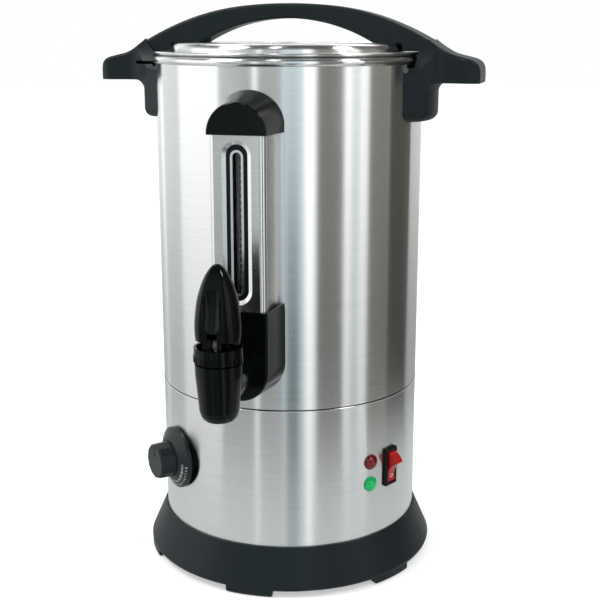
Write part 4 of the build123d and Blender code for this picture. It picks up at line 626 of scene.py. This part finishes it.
def make_seam():
    """Joint of tank and housing: a dark line over the housing's rolled lip, both in the wall; the
    dark line is painted shade, a solid ring standing for the shadow in the gap between them.
    """
    inner, outer = BODY_R - SEAM_SINK, BODY_R + SEAM_PROUD
    line = np.array([[inner, SEAM_LOW], [outer, SEAM_LOW], [outer, SEAM_HIGH], [inner, SEAM_HIGH]])
    # painted shade: this dark ring stands for the shadow in the thin gap where tank and housing
    # meet
    turned_piece("seam_shade_line", [line], "urn", "black_inlet")
    lip = np.concatenate([np.array([[BODY_R - LIP_SINK, SEAM_LOW - LIP_H]]),
                          arc(BODY_R - 0.0001, SEAM_LOW - LIP_H / 2, LIP_R, -75, 75),
                          np.array([[BODY_R - LIP_SINK, SEAM_LOW - 0.00002]])])
    turned_piece("seam_lip", [lip], "urn", "steel_brushed")


make_seam()


# ------------------------------------------------------------------ stage
VIEW_TURN = 16.0          # azimuth of the camera from the tap, degrees
VIEW_AWAY, VIEW_UP = 0.905, 0.425
BACK_TONE = np.array([0.98, 1.0, 1.0])
TABLE_TONE = np.array([0.84, 0.89, 0.89])


def stage_object(name, mesh):
    """Object of the stage, in the scene but no part of the urn."""
    made = bpy.data.objects.new(name, mesh)
    bpy.context.scene.collection.objects.link(made)
    return made


BRIGHT_RAYS = ("Is Camera Ray", "Is Glossy Ray", "Is Transmission Ray")
FLOOR_GLOW = 0.42         # brings the floor up to white for those rays


def seen_by(tree, names):
    """1 where the ray is of one of the kinds of Light Path that are named."""
    path = tree.nodes.new("ShaderNodeLightPath")
    total = path.outputs[names[0]]
    for key in names[1:]:
        total = math_node(tree, "MAXIMUM", total, path.outputs[key])
    return total


def make_floor():
    """Pale floor disc far wider than the view; its white shows to the camera and in reflections."""
    mesh = bpy.data.meshes.new("floor")
    sides, reach = 96, 8.0
    turn = np.linspace(0, 2 * math.pi, sides, endpoint=False)
    verts = np.stack([reach * np.cos(turn), reach * np.sin(turn), 0 * turn], axis=1)
    mesh.from_pydata(verts.tolist(), [], [tuple(range(sides))])
    mat = bpy.data.materials.new("floor")
    tree, surface = bare_tree(mat)
    diffuse = put(tree, "ShaderNodeBsdfDiffuse", Color=(0.9, 0.9, 0.9, 1))
    glow = put(tree, "ShaderNodeEmission", Color=(1, 1, 1, 1))
    shown = seen_by(tree, BRIGHT_RAYS)
    link(tree, math_node(tree, "MULTIPLY", shown, FLOOR_GLOW), glow.inputs["Strength"])
    both = tree.nodes.new("ShaderNodeAddShader")
    link(tree, diffuse.outputs[0], both.inputs[0])
    link(tree, glow.outputs[0], both.inputs[1])
    link(tree, both.outputs[0], surface)
    mesh.materials.append(mat)
    return stage_object("floor", mesh)


make_floor()

# cards round the set: from, to (degrees round the urn from the camera), colour, and whether the
# card goes on over the table up to the urn
CARDS = (
    (-185, -108, (0.62, 0.66, 0.66), False),
    (-146, -139, (1.00, 1.00, 1.00), False),
    (-62, -6, (0.38, 0.41, 0.41), False),
    (-31, -27, (1.10, 1.15, 1.15), True),
    (-6, 12, (0.60, 0.70, 0.74), False),
    (14, 20, (1.30, 1.34, 1.36), True),
    (23, 47, (0.18, 0.18, 0.17), False),
    (54, 62, (0.62, 0.68, 0.70), False),
    (71, 94, (0.19, 0.19, 0.17), False),
    (94, 129, (0.07, 0.07, 0.06), False),
    (129, 176, (0.48, 0.50, 0.50), False),
)
STAND = (-3, 8, (0.05, 0.09, 0.11))    # camera stand: low, in front, dark
# bright windows: middle and width round the urn, middle and depth upwards (degrees), strength
WINDOWS = ((-70, 9, 52, 8, 24.0), (62, 8, 47, 7, 20.0), (175, 90, 50, 14, 3.0),
           (-20, 10, 64, 6, 24.0))
CEILING = 0.10


def smooth(x, low, high):
    """Smooth step from 0 at low to 1 at high."""
    t = np.clip((x - low) / (high - low), 0, 1)
    return t * t * (3 - 2 * t)


def between(x, low, high, soft):
    """1 from one limit to the other and 0 outside them, with soft edges."""
    return smooth(x, low - soft, low + soft) * (1 - smooth(x, high - soft, high + soft))


def mirror_turn(reach, turn):
    """Direction, seen in the wall from the camera, in which a place of the tent shows.

    A wall point at angle p from the camera sends the view on at 2p + d, with
    tan d = R sin p / (V - R cos p); that line meets the circle of radius r at angle q with
    sin(2p + d - q) = (R / r) sin(p + d). The table of p and q is read backwards.
    """
    p = np.radians(np.linspace(-88, 88, 353))
    d = np.arctan2(BODY_R * np.sin(p), VIEW_AWAY - BODY_R * np.cos(p))
    way = 2 * p + d
    q = way - np.arcsin(np.clip(BODY_R / reach * np.sin(p + d), -1, 1))
    return np.interp(turn, np.degrees(q), np.degrees(way))


def make_tent():
    """Studio surroundings that show in reflections alone: table, cards, dim ceiling, windows.

    A profile of radius and height is carried round the axis. Each point's colour follows from the
    direction in which the wall shows it: cards by azimuth, and a level that falls to the ground.
    """
    profile = np.array([(0.0, 0.0004), (0.12, 0.0004), (0.2, 0.0004), (0.3, 0.0004), (0.40, 0.0004),
                        (0.48, 0.0004), (0.6, 0.0004), (0.8, 0.0004), (1.1, 0.0004), (1.5, 0.0004),
                        (1.9, 0.0004), (2.2, 0.02), (2.2, 0.15), (2.2, 0.3), (2.2, 0.5), (2.2, 0.8),
                        (2.2, 1.1), (2.2, 1.4), (2.15, 1.7), (2.05, 2.0), (1.9, 2.3), (1.7, 2.55),
                        (1.4, 2.75), (1.1, 2.88), (0.8, 2.95), (0.4, 3.0), (0.0, 3.0)])
    steps = 720
    turn = np.linspace(-180, 180, steps, endpoint=False)
    angle = np.radians(turn + VIEW_TURN)
    reach, height = profile[:, 0], profile[:, 1]
    verts = np.stack([np.outer(reach, np.sin(angle)), -np.outer(reach, np.cos(angle)),
                      np.outer(height, np.ones(steps))], axis=2)
    colour = np.ones((len(profile), steps, 4))
    for k, (r, h) in enumerate(profile):
        shown = mirror_turn(max(r, 0.12), turn)
        down = math.degrees(math.atan((VIEW_UP - h) / (r - BODY_R + VIEW_AWAY - BODY_R)))
        table = 1 - smooth(r, 0.34, 0.44) if h < 0.01 else 0.0
        level = BACK_TONE + table * (TABLE_TONE - BACK_TONE) + np.zeros((steps, 3))
        for low, high, tone, over in CARDS:
            inside = between(shown, low, high, 1.5) * (1 if over else 1 - table)
            level += inside[:, None] * (np.array(tone) - level)
        low, high, tone = STAND
        inside = between(shown, low, high, 3.0) * smooth(down, 4.0, 13.0) * (0.95 - 0.6 * table)
        level += inside[:, None] * (np.array(tone) - level)
        level *= 1.45 - 0.70 * smooth(down, 2.0, 17.0)
        rise = math.degrees(math.atan2(h - 0.25, r))
        level += smooth(rise, 24.0, 40.0) * (CEILING - level)
        for middle, width, centre, tall, power in WINDOWS:
            side = smooth(width / 2 - np.abs((turn - middle + 180) % 360 - 180), -2, 2)
            level += (side * smooth(tall / 2 - abs(rise - centre), -3, 3) * power)[:, None]
        colour[k, :, :3] = level
    faces = [(k * steps + j, k * steps + (j + 1) % steps,
              (k + 1) * steps + (j + 1) % steps, (k + 1) * steps + j)
             for k in range(len(profile) - 1) for j in range(steps)]
    mesh = bpy.data.meshes.new("tent")
    mesh.from_pydata(verts.reshape(-1, 3).tolist(), [], faces)
    glow = mesh.attributes.new("glow", "FLOAT_COLOR", "POINT")
    glow.data.foreach_set("color", colour.reshape(-1).astype(np.float32))
    mat = bpy.data.materials.new("tent")
    tree, surface = bare_tree(mat)
    mat.cycles.emission_sampling = "NONE"
    light = put(tree, "ShaderNodeEmission", Strength=1.0)
    read = tree.nodes.new("ShaderNodeAttribute")
    read.attribute_name = "glow"
    link(tree, read.outputs["Color"], light.inputs["Color"])
    link(tree, light.outputs[0], surface)
    mesh.materials.append(mat)
    tent = stage_object("tent", mesh)
    tent.visible_camera = False
    tent.visible_diffuse = False
    tent.visible_transmission = False
    tent.visible_volume_scatter = False
    tent.visible_shadow = False
    return tent


make_tent()


def soft_box(name, turn, rise, away, size, power):
    """Square soft lamp at an azimuth from the camera and a height angle, looking at the urn."""
    a, e = math.radians(turn + VIEW_TURN), math.radians(rise)
    target = Vector((0, 0, 0.22))
    toward = Vector((math.sin(a) * math.cos(e), -math.cos(a) * math.cos(e), math.sin(e)))
    place = target + away * toward
    lamp = bpy.data.lights.new(name, "AREA")
    lamp.size = size
    lamp.energy = power
    holder = bpy.data.objects.new(name, lamp)
    holder.location = place
    holder.rotation_euler = (target - place).to_track_quat("-Z", "Y").to_euler()
    bpy.context.scene.collection.objects.link(holder)
    return holder


soft_box("key", -70, 52, 1.7, 0.5, 9.0)
soft_box("fill", 62, 47, 1.7, 0.35, 5.0)


SOFT_LEVEL = 0.7          # light from all sides on the urn


def make_world():
    """White surroundings for the camera, and a plain soft level of light."""
    world = bpy.data.worlds.new("studio")
    bpy.context.scene.world = world
    tree, surface = bare_tree(world, "ShaderNodeOutputWorld")
    back = put(tree, "ShaderNodeBackground", Color=(1, 1, 1, 1))
    shown = seen_by(tree, BRIGHT_RAYS)
    link(tree, spread(tree, shown, 0.0, 1.0, SOFT_LEVEL, 1.0), back.inputs["Strength"])
    link(tree, back.outputs[0], surface)


make_world()


# ------------------------------------------------------------------ camera
CAMERA_PITCH, CAMERA_YAW, CAMERA_LENS = 13.56, 0.532, 67.84


def make_camera():
    """Camera a little to the right of the tap and slightly above the lid, level horizon."""
    turn, pitch, yaw = (math.radians(angle) for angle in (VIEW_TURN, CAMERA_PITCH, CAMERA_YAW))
    cam = bpy.data.cameras.new("camera")
    cam.sensor_width = 36.0
    cam.lens = CAMERA_LENS
    obj = bpy.data.objects.new("camera", cam)
    bpy.context.scene.collection.objects.link(obj)
    obj.location = (VIEW_AWAY * math.sin(turn), -VIEW_AWAY * math.cos(turn), VIEW_UP)
    look = Vector((math.sin(yaw) * math.cos(pitch), math.cos(yaw) * math.cos(pitch),
                   -math.sin(pitch)))
    look = Matrix.Rotation(turn, 3, "Z") @ look
    obj.rotation_euler = look.to_track_quat("-Z", "Y").to_euler()
    bpy.context.scene.camera = obj


make_camera()
bpy.context.scene.view_settings.view_transform = "Standard"
